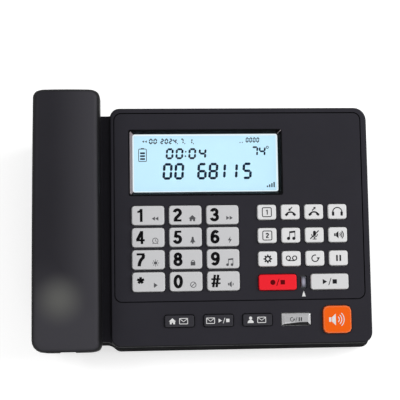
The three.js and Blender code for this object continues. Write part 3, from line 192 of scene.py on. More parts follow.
def block(x0, y0, x1, y1):
    """Rectangle between two opposite corners."""
    return outline_shape([(x0, y0), (x1, y0), (x1, y1), (x0, y1)])


def triangle(x, y, width, height):
    """Triangle whose upright side is at x and whose point is a width away."""
    return outline_shape([(x, y - height / 2), (x + width, y), (x, y + height / 2)])


def rounded_points(x, y, width, height, radius, count=6):
    """Outline of a rectangle whose corners are quarter arcs."""
    across, up = width / 2 - radius, height / 2 - radius
    corners = [(across, up, 0), (-across, up, 90), (-across, -up, 180), (across, -up, 270)]
    arcs = [arc_points(x + cx, y + cy, radius, radius, turn, turn + 90, count) for cx, cy, turn in corners]
    return np.concatenate(arcs)


def rounded_block(x, y, width, height, radius):
    """Filled rectangle about (x, y) with quarter arcs at its corners."""
    return outline_shape(rounded_points(x, y, width, height, radius))


def rounded_frame(x, y, width, height, radius, line):
    """The rounded rectangle's outline as a band."""
    return stroke(rounded_points(x, y, width, height, radius), line, closed=True)


def moved(shapes, x=0.0, y=0.0, turn=0.0, size=1.0):
    """Shapes scaled, then turned by degrees about the origin, then moved."""
    cos, sin = math.cos(math.radians(turn)) * size, math.sin(math.radians(turn)) * size
    spin = np.array([[cos, sin], [-sin, cos]])
    return [(points @ spin + np.array([x, y]), faces) for points, faces in shapes]


def facing_up(points, faces):
    """Faces as they are where their corners run counter-clockwise, reversed where they don't."""
    corners = points[faces]
    following = np.roll(corners, -1, axis=1)
    area = (corners[..., 0] * following[..., 1] - corners[..., 1] * following[..., 0]).sum(1)
    return np.where(area[:, None] < 0, faces[:, ::-1], faces)


def joined_lines(*lines):
    """The points of several lines, one after another."""
    return np.concatenate([np.asarray(line, float) for line in lines])


# Figures of the dial keys, drawn one unit high with strokes of their own

FIGURE_MIDDLE = 0.31
STROKE = 0.235


def bold_figure(figure, line=STROKE):
    """Strokes of one figure, from 0 to 1 in height and from 0 to about 0.62 across: arcs, ovals, bars
    and blocks that overlap."""
    mid = FIGURE_MIDDLE

    def oval(y, across, up, count=32):
        """Oval band about the middle line."""
        return stroke(oval_points(mid, y, across, up, count), line, closed=True)

    if figure == "0":
        return [oval(0.5, 0.22, 0.41, 40)]
    if figure == "1":
        flag = outline_shape([(0.3, 1.0), (0.27, 0.9), (0.12, 0.83), (0.12, 0.69), (0.3, 0.73)])
        return [block(0.3, 0, 0.49, 1), flag]
    if figure == "2":
        bend = arc_points(mid, 0.69, 0.21, 0.22, 172, -28)
        neck = joined_lines(bend, [(0.36, 0.43), (0.22, 0.29), (0.14, 0.14)])
        return [stroke(neck, line), block(0.04, 0, 0.6, 0.165)]
    if figure == "3":
        upper = stroke(arc_points(0.29, 0.71, 0.19, 0.2, 170, -90), line)
        lower = stroke(arc_points(0.29, 0.3, 0.22, 0.21, 90, -168), line)
        return [upper, lower, block(0.2, 0.43, 0.31, 0.59)]
    if figure == "4":
        return [bar(0.1, 0.3, 0.43, 0.97, line), block(0.02, 0.21, 0.63, 0.37), block(0.34, 0, 0.52, 1)]
    if figure == "5":
        bowl = stroke(arc_points(0.29, 0.33, 0.22, 0.245, 138, -165), line)
        return [block(0.13, 0.835, 0.57, 1), bar(0.2, 0.95, 0.14, 0.47, line * 0.9), bowl]
    if figure == "6":
        return [oval(0.32, 0.21, 0.235), stroke(arc_points(0.35, 0.47, 0.25, 0.44, 190, 48), line)]
    if figure == "7":
        leg = joined_lines([(0.53, 0.88)], arc_points(0.72, 0.0, 0.5, 0.72, 115, 180, 12))
        return [block(0.04, 0.835, 0.61, 1), stroke(leg, line)]
    if figure == "8":
        return [oval(0.72, 0.18, 0.19), oval(0.3, 0.215, 0.21)]
    if figure == "9":
        return moved(bold_figure("6", line), 2 * mid, 1, 180)
    if figure == "star":
        arms = [moved([bar(0, 0, 0.26, 0, line * 0.8)], mid, 0.62, turn) for turn in (90, 18, 162, -54, 234)]
        return [shape for arm in arms for shape in arm]
    slants = [bar(x, 0.02, x + 0.13, 0.98, line * 0.72) for x in (0.13, 0.37)]
    return slants + [block(0.0, y, 0.66, y + 0.125) for y in (0.26, 0.58)]


# Pictograms in millimetres, each about its own middle

def handset_sign(arrow_turn):
    """A lying handset as a thick arc with two pads, and an arrow above it."""
    pad = [rounded_block(0, 0, 1.9, 1.4, 0.3)]
    shapes = [ring(0, -3.1, 3.0, 0.9, 38, 142, 18)] + moved(pad, -2.3, -1.5, 40) + moved(pad, 2.3, -1.5, -40)
    return shapes + moved([bar(-1.5, 0, 0.6, 0, 0.6), triangle(0.3, 0, 1.3, 1.9)], 0, 1.8, arrow_turn)


def speaker_sign(waves, line=0.5, spread=0.95, nearest=1.1):
    """A driver, a cone, and arcs that widen with each wave from the nearest one."""
    shapes = [block(-2.9, -0.85, -2.0, 0.85)]
    shapes += [outline_shape([(-1.75, -0.85), (-0.3, -2.2), (-0.3, 2.2), (-1.75, 0.85)])]
    return shapes + [ring(-0.3, 0, nearest + spread * wave, line, -48, 48, 14) for wave in range(waves)]


def gear_sign(teeth=8):
    """Band between a hub hole and a rim of radius 2.2 + 0.4 tanh(4 cos(n a))."""
    count = teeth * 12
    angle = np.linspace(0, 2 * math.pi, count, endpoint=False)
    outer = 2.2 + 0.4 * np.tanh(4 * np.cos(teeth * angle))
    directions = np.stack([np.cos(angle), np.sin(angle)], 1)
    points = np.stack([directions * outer[:, None], directions * 0.95]).reshape(-1, 2)
    return [(points, grid_faces(2, count, wrap=True))]


def bell_sign():
    """Bell whose half width grows from its crown to its rim as 0.7 + 1.3 s^2, with a knob and a clapper."""
    share = np.linspace(0, 1, 12)
    side = np.stack([0.7 + 1.3 * share**2, 1.8 - 3.2 * share], 1)
    body = outline_shape(np.concatenate([side, side[::-1] * (-1, 1)]))
    return [body, disc(0, 1.8, 0.7), disc(0, -1.8, 0.6)]


def sun_sign():
    """A disc with a ray every 45 degrees."""
    rays = [moved([bar(1.6, 0, 2.4, 0, 0.45)], turn=turn) for turn in range(0, 360, 45)]
    return [disc(0, 0, 1.15)] + [shape for ray in rays for shape in ray]


def memory_sign(figure):
    """A small figure in a frame."""
    return [rounded_frame(0, 0, 5.4, 5.4, 0.8, 0.5)] + moved(bold_figure(figure), -0.95, -1.5, 0, 3.0)


# A half ring over two rounded pads
HEADSET = [ring(0, -0.4, 2.8, 0.6, 0, 180)] + [rounded_block(x, -1.3, 1.4, 2.5, 0.4) for x in (-2.6, 2.6)]
# Two discs with stems under a slanted beam
NOTES = [disc(x, -1.9, 0.95) for x in (-1.5, 1.7)] + [
    block(-1.0, -1.9, -0.6, 2.0),
    block(2.2, -1.9, 2.6, 2.4),
    outline_shape([(-1.0, 1.2), (2.6, 1.6), (2.6, 2.7), (-1.0, 2.3)]),
]
# A microphone on its stand with a bar across it
MUTED = [
    rounded_block(0, 0.9, 1.7, 3.2, 0.8),
    ring(0, 0.5, 1.75, 0.5, 180, 360),
    block(-0.25, -2.2, 0.25, -1.2),
    block(-1.2, -2.7, 1.2, -2.2),
    bar(-2.6, -2.3, 2.6, 2.6, 0.6),
]
# Two rings joined by a bar below
REELS = [ring(x, 0.3, 1.25, 0.6) for x in (-1.9, 1.9)] + [block(-1.9, -1.5, 1.9, -0.9)]
# An open ring that ends in an arrow head
CIRCLING = [ring(0, 0, 1.95, 0.6, 70, 360), outline_shape([(0.9, 0.5), (3.0, 0.5), (1.95, -1.0)])]
PAUSE = [block(-1.5, -1.8, -0.5, 1.8), block(0.5, -1.8, 1.5, 1.8)]
# A slanted bar and the square for stop, after what the key starts
OR_STOP = [bar(-0.75, -2.1, 0.75, 2.1, 0.42), block(1.6, -1.3, 4.2, 1.3)]
RECORD_STOP = [disc(-3.0, 0, 1.5)] + OR_STOP
PLAY_STOP = [triangle(-4.3, 0, 2.6, 3.1)] + OR_STOP
# The open ring, a slanted bar and the pause blocks
REDIAL = moved(CIRCLING, -3.1, size=0.72) + [bar(-0.55, -1.6, 0.55, 1.6, 0.35)] + moved(PAUSE, 2.9, size=0.8)
# A frame with a folded line in it
ENVELOPE = [rounded_frame(0, 0, 6.0, 4.0, 0.4, 0.5), stroke([(-2.8, 1.7), (0, -0.4), (2.8, 1.7)], 0.5)]
# A roof over three blocks that leave a doorway
HOUSE = [
    outline_shape([(-2.6, -0.1), (2.6, -0.1), (0, 2.3)]),
    block(-1.9, -2.1, -0.5, 0.0),
    block(0.5, -2.1, 1.9, 0.0),
    block(-0.6, -0.9, 0.6, 0.0),
]
# A disc over a half oval
PERSON = [disc(0, 1.4, 1.15), outline_shape(arc_points(0, -2.2, 2.3, 2.4, 0, 180))]
FORWARD = [triangle(-2.3, 0, 2.2, 2.8), triangle(0.1, 0, 2.2, 2.8)]
# A ring with two hands and two feet
CLOCK = [
    ring(0, 0, 1.9, 0.45),
    stroke([(0, 1.2), (0, 0), (0.9, -0.5)], 0.4),
    bar(-1.9, -2.2, -1.3, -1.5, 0.5),
    bar(1.9, -2.2, 1.3, -1.5, 0.5),
]
BOLT = [outline_shape([(0.4, 2.4), (-1.5, -0.3), (-0.2, -0.3), (-0.6, -2.4), (1.4, 0.5), (0.1, 0.5)])]
# A rounded block under a half ring
PADLOCK = [rounded_block(0, -0.8, 3.2, 2.6, 0.3), ring(0, 0.5, 1.05, 0.45, 0, 180)]
BARRED = [ring(0, 0, 1.9, 0.45), bar(-1.3, -1.3, 1.3, 1.3, 0.45)]

FUNCTION_SIGNS = {
    "key_memory_1": memory_sign("1"),
    "key_memory_2": memory_sign("2"),
    "key_incoming": handset_sign(-135),
    "key_outgoing": handset_sign(45),
    "key_earphone": HEADSET,
    "key_music": NOTES,
    "key_mute": MUTED,
    "key_volume": moved(speaker_sign(3), 0.6),
    "key_setup": gear_sign(),
    "key_recordings": REELS,
    "key_call_back": CIRCLING,
    "key_pause": PAUSE,
}
# Small sign of each dial key's second use
SECOND_SIGNS = {
    "key_1": moved(FORWARD, turn=180),
    "key_2": HOUSE,
    "key_3": FORWARD,
    "key_4": CLOCK,
    "key_5": bell_sign(),
    "key_6": BOLT,
    "key_7": sun_sign(),
    "key_8": PADLOCK,
    "key_9": moved(NOTES, -0.5),
    "key_star": [triangle(-1.3, 0, 2.6, 3.6)],
    "key_0": BARRED,
    "key_hash": moved(speaker_sign(1), 1.0),
}
# Signs of the front row, white on all keys but the silver one
FRONT_SIGNS = {
    "key_message_1": moved(HOUSE, -5.2) + moved(ENVELOPE, 3.0),
    "key_message_2": moved(ENVELOPE, -6.0) + moved(PLAY_STOP, 4.0, size=0.95),
    "key_message_3": moved(PERSON, -5.2) + moved(ENVELOPE, 3.0),
    "key_redial": REDIAL,
    "key_speakerphone": moved(speaker_sign(3, 0.33, 0.93, 1.35), -0.7, size=1.95),
}

# Millimetres
INK_THICKNESS = 0.05
DISPLAY_INK_THICKNESS = 0.08
INK_SINK = 0.01


def printed(name, shapes, centre, surface, material, body, thickness=INK_THICKNESS):
    """Ink: all shapes moved to a centre on the deck, laid just under a surface, and thickened outwards."""
    points, faces, offset = [], [], 0
    level = surface - INK_SINK * MM
    for shape_points, shape_faces in shapes:
        flat = shape_points * MM + np.asarray(centre)[:2]
        points.append(np.column_stack([flat, np.full(len(flat), level)]))
        faces += (facing_up(shape_points, shape_faces) + offset).tolist()
        offset += len(flat)
    piece = new_piece(name, from_deck(np.concatenate(points)), faces, material, body)
    skin = piece.modifiers.new("Ink thickness", "SOLIDIFY")
    skin.thickness = thickness * MM
    skin.offset = 1
    return piece


# Display figures: seven bars to a figure, slanted

SEGMENTS = {
    "0": "abcdef", "1": "bc", "2": "abged", "3": "abgcd", "4": "fgbc",
    "5": "afgcd", "6": "afgedc", "7": "abc", "8": "abcdefg", "9": "abcdfg",
}
SEGMENT_TIP = 0.4
SEGMENT_GAP = 0.1

# Rows from the opening's middle: figures, left edges, baseline, then a figure's width, height and line
DISPLAY_ROWS = (
    ("00", (-32.7, -23.9), -12.3, 7.2, 12.6, 1.9),
    ("68115", (-6.6, 1.9, 7.8, 16.8, 27.6), -12.3, 7.2, 12.6, 1.9),
    ("0004", (-30.1, -22.7, -13.0, -5.3), 3.2, 5.8, 8.4, 1.55),
    ("74", (34.8, 40.5), 5.0, 5.2, 7.7, 1.35),
    ("00", (-42.6, -39.3), 14.8, 2.8, 4.2, 0.95),
    ("2024", (-34.0, -30.8, -27.6, -24.4), 14.8, 2.7, 4.2, 0.95),
    ("71", (-19.0, -12.4), 14.8, 2.7, 4.2, 0.95),
    ("0000", (30.8, 33.5, 36.2, 38.9), 15.6, 2.3, 4.0, 0.85),
)


def segment_bar(start, end, line):
    """Six-cornered bar: its points lie two fifths of a line past the straight sides."""
    start, end = np.array(start, float), np.array(end, float)
    along = (end - start) / np.linalg.norm(end - start)
    side = np.array([-along[1], along[0]]) * line / 2
    tip = along * line * SEGMENT_TIP
    lower, upper = [start + tip - side, end - tip - side], [end - tip + side, start + tip + side]
    return outline_shape([start, *lower, end, *upper])


def display_figure(character, x, y, width, height, line, slant):
    """Bars of one figure with its lower left corner at (x, y), sheared by slant times height."""
    inset, gap = line / 2, line * SEGMENT_GAP
    left, right, bottom, top = inset, width - inset, inset, height - inset
    middle = height / 2
    ends = {
        "a": ((left + gap, top), (right - gap, top)),
        "b": ((right, middle + gap), (right, top - gap)),
        "c": ((right, bottom + gap), (right, middle - gap)),
        "d": ((left + gap, bottom), (right - gap, bottom)),
        "e": ((left, bottom + gap), (left, middle - gap)),
        "f": ((left, middle + gap), (left, top - gap)),
        "g": ((left + gap, middle), (right - gap, middle)),
    }
    shapes = []
    for letter in SEGMENTS[character]:
        points, faces = segment_bar(*ends[letter], line)
        points = np.column_stack([points[:, 0] + slant * points[:, 1] + x, points[:, 1] + y])
        shapes.append((points, faces))
    return shapes


def battery_sign():
    """A frame with a cap and three bars of charge."""
    shapes = [rounded_frame(-47.4, 6.4, 5.8, 9.4, 0.6, 0.5), block(-48.6, 11.1, -46.2, 11.8)]
    return shapes + [block(-49.2, y, -45.6, y + 1.3) for y in (2.9, 5.1, 7.3)]


def strength_sign():
    """Four upright bars, each 0.9 mm taller than the one before."""
    return [block(46.4 + 1.7 * step, -18.6, 47.4 + 1.7 * step, -17.4 + 0.9 * step) for step in range(4)]


def display_shapes(look):
    """All figures and signs of the display, in millimetres from the middle of its opening."""
    shapes = []
    for characters, lefts, baseline, width, height, line in DISPLAY_ROWS:
        for character, left in zip(characters, lefts):
            shapes += display_figure(character, left, baseline, width, height, line, look.slant)
    clock_dots = [disc(-15.0, 5.5, 0.6), disc(-14.7, 8.9, 0.6)]
    date_dots = [disc(x, 15.1, 0.4, 12) for x in (-21.0, -15.4, -8.8)]
    number_dots = [disc(x, 15.8, 0.4, 12) for x in (26.6, 28.4)]
    shapes += clock_dots + date_dots + number_dots + [ring(47.4, 11.9, 0.85, 0.5, count=20)]
    shapes += [triangle(x + 1.5, 16.8, -1.5, 1.8) for x in (-47.6, -45.6)]
    return shapes + battery_sign() + strength_sign()


# Nodes: a helper that is given a socket works in the tree of that socket, its id_data

WHITE, BLACK = (1.0, 1.0, 1.0), (0.0, 0.0, 0.0)
# Noise seldom leaves this span, which is stretched to the whole range
NOISE_SPAN = (0.3, 0.7)
BEVEL_SAMPLES = 6


def feed(node, inputs):
    """Links each input of a node to a socket, or sets it to a value."""
    for name, value in inputs.items():
        if isinstance(value, bpy.types.NodeSocket):
            node.id_data.links.new(value, node.inputs[name])
        else:
            node.inputs[name].default_value = value


def add_node(tree, kind, inputs=None, **settings):
    """A node with its settings and its inputs."""
    node = tree.nodes.new(kind)
    for name, value in settings.items():
        setattr(node, name, value)
    feed(node, inputs or {})
    return node


def texture_place(tree, kind="Object"):
    """Place of each point on its object, or its normal."""
    return add_node(tree, "ShaderNodeTexCoord").outputs[kind]


def maths(operation, first, second=0.0):
    """One operation on a socket and a second value."""
    return add_node(first.id_data, "ShaderNodeMath", {0: first, 1: second}, operation=operation).outputs[0]


def vector_maths(operation, first, second=(0.0, 0.0, 0.0)):
    """One operation on a vector and a second one, as a number where it gives one."""
    node = add_node(first.id_data, "ShaderNodeVectorMath", {0: first, 1: second}, operation=operation)
    return next(socket for socket in node.outputs if socket.enabled)


def value_range(value, low, high, start=0.0, end=1.0, kind="LINEAR"):
    """A value that is low at the start and high at the end, and held beyond them."""
    inputs = {"Value": value, "From Min": start, "From Max": end, "To Min": low, "To Max": high}
    return add_node(value.id_data, "ShaderNodeMapRange", inputs, interpolation_type=kind).outputs["Result"]


def between(value, start, end):
    """Smooth step of a value: 0 at the start, 1 at the end."""
    return value_range(value, 0.0, 1.0, start, end, "SMOOTHSTEP")


def noise(place, scale, **inputs):
    """Noise about one half at a place, with the texture's other inputs by name."""
    inputs = {"Vector": place, "Scale": scale, **inputs}
    return add_node(place.id_data, "ShaderNodeTexNoise", inputs).outputs["Fac"]


def rounded_normal(tree, radius):
    """Normal of the surface as if its edges were rounded to a radius in metres."""
    return add_node(tree, "ShaderNodeBevel", {"Radius": radius}, samples=BEVEL_SAMPLES).outputs["Normal"]


def bump(height, depth, strength=1.0, **inputs):
    """Normal of a surface raised by a height, whose full depth is in millimetres."""
    inputs = {"Strength": strength, "Distance": depth * MM, "Height": height, **inputs}
    return add_node(height.id_data, "ShaderNodeBump", inputs).outputs["Normal"]


def mix_colour(factor, first, second):
    """First colour where the factor is 0, second where it is 1."""
    mix = add_node(factor.id_data, "ShaderNodeMix", {"Factor": factor}, data_type="RGBA")
    for label, colour in (("A", first), ("B", second)):
        number = next(n for n, socket in enumerate(mix.inputs) if socket.name == label and socket.enabled)
        feed(mix, {number: colour if isinstance(colour, bpy.types.NodeSocket) else (*colour, 1.0)})
    return next(socket for socket in mix.outputs if socket.enabled)


def tinted(colour, factor):
    """A colour with each channel times a factor, kept within white."""
    return tuple(min(float(channel) * factor, 1.0) for channel in colour)


def two_tone(mask, colour, low, high):
    """A colour times a factor that is low where the mask is 0 and high where it is 1."""
    return mix_colour(mask, tinted(colour, low), tinted(colour, high))


# Groups that several materials share

def new_group(name, inputs, outputs, kind="ShaderNodeTree"):
    """A node group with the default of each input and the names of the outputs. A socket called Geometry
    carries geometry, and every other one a number."""
    tree = bpy.data.node_groups.new(name, kind)
    for side, labels in (("INPUT", inputs), ("OUTPUT", outputs)):
        for label in labels:
            carried = "NodeSocketGeometry" if label == "Geometry" else "NodeSocketFloat"
            socket = tree.interface.new_socket(label, in_out=side, socket_type=carried)
            if side == "INPUT" and inputs[label] is not None:
                socket.default_value = inputs[label]
    return tree, tree.nodes.new("NodeGroupInput").outputs, tree.nodes.new("NodeGroupOutput")


def moulded_grain_group():
    """Spark-eroded mould grain: fine cells times finer noise, and a slow mottle."""
    inputs = {"Grain per metre": 2200.0, "Mottle per metre": 28.0}
    tree, given, out = new_group("Moulded grain", inputs, ("Height", "Mottle"))
    place, grain = texture_place(tree), given["Grain per metre"]
    cells = add_node(tree, "ShaderNodeTexVoronoi", {"Vector": place, "Scale": grain}, feature="SMOOTH_F1")
    fine = noise(place, grain, Detail=3.0, Roughness=0.6)
    feed(out, {
        "Height": maths("MULTIPLY", cells.outputs["Distance"], fine),
        "Mottle": noise(place, given["Mottle per metre"], Detail=5.0, Roughness=0.65),
    })
    return tree


# Cosines of the rounded normal's lean where the edge mask for wear and painted highlight starts and where it
# is full
EDGE_MASK_LEAN = (0.995, 0.86)
EDGE_MASK_NOISE_PER_METRE = 160.0


def edge_wear_and_highlight_group():
    """Mask of the edges, for wear and for a painted highlight: how far the rounded normal leans from the
    face's own, broken by noise.
    """
    tree, given, out = new_group("Edge wear", {"Radius": 0.0006, "Breakup": 0.5}, ("Mask",))
    own = add_node(tree, "ShaderNodeNewGeometry").outputs["True Normal"]
    lean = vector_maths("DOT_PRODUCT", rounded_normal(tree, given["Radius"]), own)
    broken = value_range(noise(texture_place(tree), EDGE_MASK_NOISE_PER_METRE, Detail=4.0), 0.0, 1.0, 0.35, 0.65)
    shares = {"Factor": given["Breakup"], "A": 1.0, "B": broken}
    kept = add_node(tree, "ShaderNodeMix", shares, data_type="FLOAT").outputs["Result"]
    feed(out, {"Mask": maths("MULTIPLY", value_range(lean, 0.0, 1.0, *EDGE_MASK_LEAN), kept)})
    return tree


def handling_group():
    """Smudges from hands: turned and stretched noise, as a value about one half."""
    tree, given, out = new_group("Handling", {"Size per metre": 45.0}, ("Smudge",))
    smear = {"Vector": texture_place(tree), "Rotation": (0.0, 0.0, 0.6), "Scale": (1.0, 2.2, 1.0)}
    turned = add_node(tree, "ShaderNodeMapping", smear).outputs["Vector"]
    feed(out, {"Smudge": noise(turned, given["Size per metre"], Detail=6.0, Distortion=0.6)})
    return tree


WELD_DISTANCE = 0.002


def soft_edges_group():
    """Welds a node's loose triangles and shades it smooth across every edge flatter than an angle."""
    inputs = {"Geometry": None, "Sharp angle": 0.6}
    tree, given, out = new_group("Soft edges", inputs, ("Geometry",), "GeometryNodeTree")
    weld = {"Geometry": given["Geometry"], "Distance": WELD_DISTANCE * MM}
    welded = add_node(tree, "GeometryNodeMergeByDistance", weld).outputs[0]
    angle = add_node(tree, "GeometryNodeInputMeshEdgeAngle").outputs["Unsigned Angle"]
    ends = {"A": angle, "B": given["Sharp angle"]}
    compared = add_node(tree, "FunctionNodeCompare", ends, data_type="FLOAT", operation="LESS_EQUAL")
    faces = add_node(tree, "GeometryNodeSetShadeSmooth", {0: welded}, domain="FACE").outputs[0]
    flat = {0: faces, "Shade Smooth": compared.outputs["Result"]}
    edges = add_node(tree, "GeometryNodeSetShadeSmooth", flat, domain="EDGE").outputs[0]
    feed(out, {"Geometry": edges})
    return tree


made_groups = {}


def group(maker):
    """The node group of a maker function, made at its first use."""
    if maker not in made_groups:
        made_groups[maker] = maker()
    return made_groups[maker]


def use_group(tree, maker, **values):
    """Outputs of a group in a material, with its inputs set by name, underscores for spaces."""
    inputs = {name.replace("_", " "): value for name, value in values.items()}
    return add_node(tree, "ShaderNodeGroup", inputs, node_tree=group(maker)).outputs


# Places and leanings on the deck, for materials

def deck_position(tree, axis):
    """Distance of each point along one of the deck's directions, as a value."""
    return vector_maths("DOT_PRODUCT", texture_place(tree), tuple(DECK[axis]))


def deck_lean(tree, axis):
    """How far each face looks along one of the deck's directions."""
    return vector_maths("DOT_PRODUCT", texture_place(tree, "Normal"), tuple(DECK[axis]))


def deck_offset(tree, axis, middle):
    """Distance of each point along one of the deck's directions from a middle."""
    return maths("SUBTRACT", deck_position(tree, axis), float(middle[axis]))


def deck_vector(across, along):
    """Two values on the deck as one vector."""
    return add_node(across.id_data, "ShaderNodeCombineXYZ", {"X": across, "Y": along}).outputs["Vector"]


# Materials: each maker gives the material, or the material and its Principled shader

def blank_material(name):
    """A material with only a Principled shader and its output."""
    material = bpy.data.materials.new(name)
    material.use_nodes = True
    tree = material.node_tree
    tree.nodes.clear()
    shader = add_node(tree, "ShaderNodeBsdfPrincipled")
    out = add_node(tree, "ShaderNodeOutputMaterial", {"Surface": shader.outputs["BSDF"]})
    out.is_active_output = True
    return material, shader


def cover(shader, mask, colour):
    """Lays a colour over a shader's base colour where a mask is 1."""
    under = shader.inputs["Base Color"].links[0].from_socket
    feed(shader, {"Base Color": mix_colour(mask, under, colour)})


def darkened(shader, colour, axis, start, end):
    """Painted shade: covers the faces whose lean along a deck direction lies between two values with a shade
    colour, fully at the end value.
    """
    cover(shader, between(deck_lean(shader.id_data, axis), start, end), colour)


GLOSS_SPREAD = 0.05


def plastic(
    name, colour, roughness, grain, depth, edge, edge_radius,
    breakup=0.6, mottle=0.06, round_radius=0.25, specular=0.5,
):
    """Moulded plastic: mottled colour, an edge colour on worn edges that paints a highlight where it is
    paler, smudged gloss and a fine grain under a rounded normal.
    """
    material, shader = blank_material(name)
    tree = shader.id_data
    texture = use_group(tree, moulded_grain_group, Grain_per_metre=grain)
    edge_wear_and_highlight = use_group(tree, edge_wear_and_highlight_group, Radius=edge_radius * MM, Breakup=breakup)
    smudge = use_group(tree, handling_group)["Smudge"]
    mottled = value_range(texture["Mottle"], 0.0, 1.0, *NOISE_SPAN)
    body = two_tone(mottled, colour, 1 - mottle, 1 + mottle)
    feed(shader, {
        # Edge colour over the edge mask: wear, and a painted highlight where it is paler
        "Base Color": mix_colour(edge_wear_and_highlight["Mask"], body, edge),
        "Roughness": value_range(smudge, roughness - GLOSS_SPREAD, roughness + GLOSS_SPREAD, *NOISE_SPAN),
        "Normal": bump(texture["Height"], depth, Normal=rounded_normal(tree, round_radius * MM)),
        "Specular IOR Level": specular,
    })
    return material, shader


def dark_plastic(name, colour, look, roughness_step=0.0, edge_radius=0.35):
    """The matt plastic of the casing and the handset."""
    return plastic(
        name, colour, look.roughness + roughness_step, look.grain, look.grain_depth,
        look.worn_edge_highlight_colour, edge_radius, specular=look.specular,
    )


def deck_plastic(look):
    """Deck and panel, with painted shade where the deck's rim turns down."""
    material, shader = dark_plastic("Deck plastic", look.deck_colour, look)
    # Painted shade on the faces that turn down from the deck
    darkened(shader, look.turned_down_shade_colour, OUT, 0.98, 0.75)
    return material


def base_plastic(look):
    """Lower casing, duller than the deck, with painted shade on its front wall."""
    material, shader = dark_plastic("Base plastic", look.base_colour, look, 0.2)
    feed(shader, {"Specular IOR Level": look.base_specular})
    # Painted shade on the front wall
    darkened(shader, look.turned_down_shade_colour, UP, -0.5, -0.85)
    return material


# Where the painted light on the handset's right side and on its lower end fades in, as shares of its width
# and length
LIT_SIDE_SHARES = (-0.2, 0.6)
LIT_END_SHARES = (0.2, -0.1)


def handset_plastic(look):
    """Handset shell with painted light on its right side and its lower end, a painted highlight near its
    lower end, and painted shade where it turns down.
    """
    material, shader = dark_plastic("Handset plastic", look.handset_colour, look, -0.06, 0.5)
    low, high = deck_box("handset_outer_shell")
    width, length, _ = (float(size) for size in high - low)
    middle = low + (high - low) * np.array([look.painted_highlight_across, look.painted_highlight_along, 1.0])
    across, along = (deck_offset(shader.id_data, axis, middle) for axis in (RIGHT, UP))
    side = between(across, LIT_SIDE_SHARES[0] * width, LIT_SIDE_SHARES[1] * width)
    lower = between(along, LIT_END_SHARES[0] * length, LIT_END_SHARES[1] * length)
    reach = vector_maths("LENGTH", deck_vector(across, along))
    # Painted light on the right side and the lower end
    cover(shader, maths("MAXIMUM", side, lower), look.painted_light_colour)
    # Painted highlight in a round patch near the lower end
    cover(shader, between(reach, look.painted_highlight_radius * MM, 0.0), look.painted_highlight_colour)
    # Painted shade where the shell turns down
    darkened(shader, look.turned_down_shade_colour, OUT, 0.96, 0.6)
    return material


def key_plastic(name, colour, edge, look, roughness=None):
    """Key cap, cleaner than the casing, with a painted highlight on its rim."""
    return plastic(
        name, colour, look.roughness if roughness is None else roughness, look.grain, look.grain_depth,
        edge, look.rim_highlight_width, breakup=0.15, mottle=0.02, round_radius=0.3, specular=look.specular,
    )[0]


def silver_paint(look):
    """Silver-painted cap: fine flakes in the colour, a satin gloss, a painted highlight on its edges and
    painted shade on its front bevel.
    """
    material, shader = plastic(
        "Silver paint", look.silver_colour, roughness=0.34, grain=2600.0, depth=0.006,
        edge=tinted(look.silver_colour, 1.5), edge_radius=look.rim_highlight_width, breakup=0.1, specular=look.specular,
    )
    # Painted shade on the front bevel
    darkened(shader, look.bevel_shade_colour, UP, -0.25, -0.38)
    feed(shader, {"Metallic": 0.35})
    return material


def rubber(look):
    """Matt rubber of the feet and the key mat."""
    return plastic(
        "Rubber", look.rubber_colour, roughness=0.82, grain=1500.0, depth=0.02,
        edge=tinted(look.rubber_colour, 1.6), edge_radius=0.5, mottle=0.15,
    )[0]


def socket_plastic(look):
    """Satin nylon of the sockets and the switch."""
    return plastic(
        "Socket nylon", look.socket_colour, roughness=0.45, grain=1600.0, depth=0.006,
        edge=tinted(look.socket_colour, 2.0), edge_radius=0.3,
    )[0]


def gloss_black(look):
    """Polished black bevel with a painted reflection in silver on its left wall and a painted glint along its
    rear right mitre.
    """
    material, shader = plastic(
        "Bezel black", look.bezel_colour, roughness=0.3, grain=900.0, depth=0.001,
        edge=look.bezel_colour, edge_radius=0.2, mottle=0.1, specular=0.06,
    )
    tree = shader.id_data
    left_wall = maths("GREATER_THAN", deck_lean(tree, RIGHT), 0.4)
    facing_out = maths("GREATER_THAN", deck_lean(tree, OUT), 0.3)
    corner = deck_box("display_bezel")[1] - look.bezel_flange * MM
    from_right, from_rear = (deck_offset(tree, axis, corner) for axis in (RIGHT, UP))
    off_mitre = maths("ABSOLUTE", maths("SUBTRACT", from_right, from_rear))
    on_mitre = maths("LESS_THAN", off_mitre, look.mitre_glint_width / 2 * MM)
    in_corner = maths("GREATER_THAN", from_right, -look.mitre_glint_reach * MM)
    strip, mitre = maths("MULTIPLY", left_wall, facing_out), maths("MULTIPLY", on_mitre, in_corner)
    # Painted reflection on the left wall and painted glint on the mitre
    cover(shader, maths("MAXIMUM", strip, mitre), look.painted_reflection_colour)
    return material


def clear_window(look):
    """Clear plate with the faintest smudges in its gloss."""
    material, shader = blank_material("Clear window")
    smudge = use_group(shader.id_data, handling_group)["Smudge"]
    feed(shader, {
        "Base Color": (*WHITE, 1.0),
        "Transmission Weight": 1.0,
        "IOR": look.window_bending,
        "Specular IOR Level": look.window_sheen,
        "Roughness": value_range(smudge, 0.01, 0.04, *NOISE_SPAN),
    })
    return material


# Points this near the glass's level, in millimetres, belong to its face
GLASS_TOLERANCE = 0.1
GLASS_LINES = {"Scale": 420.0}
GLASS_LINE_STRENGTH = 0.06


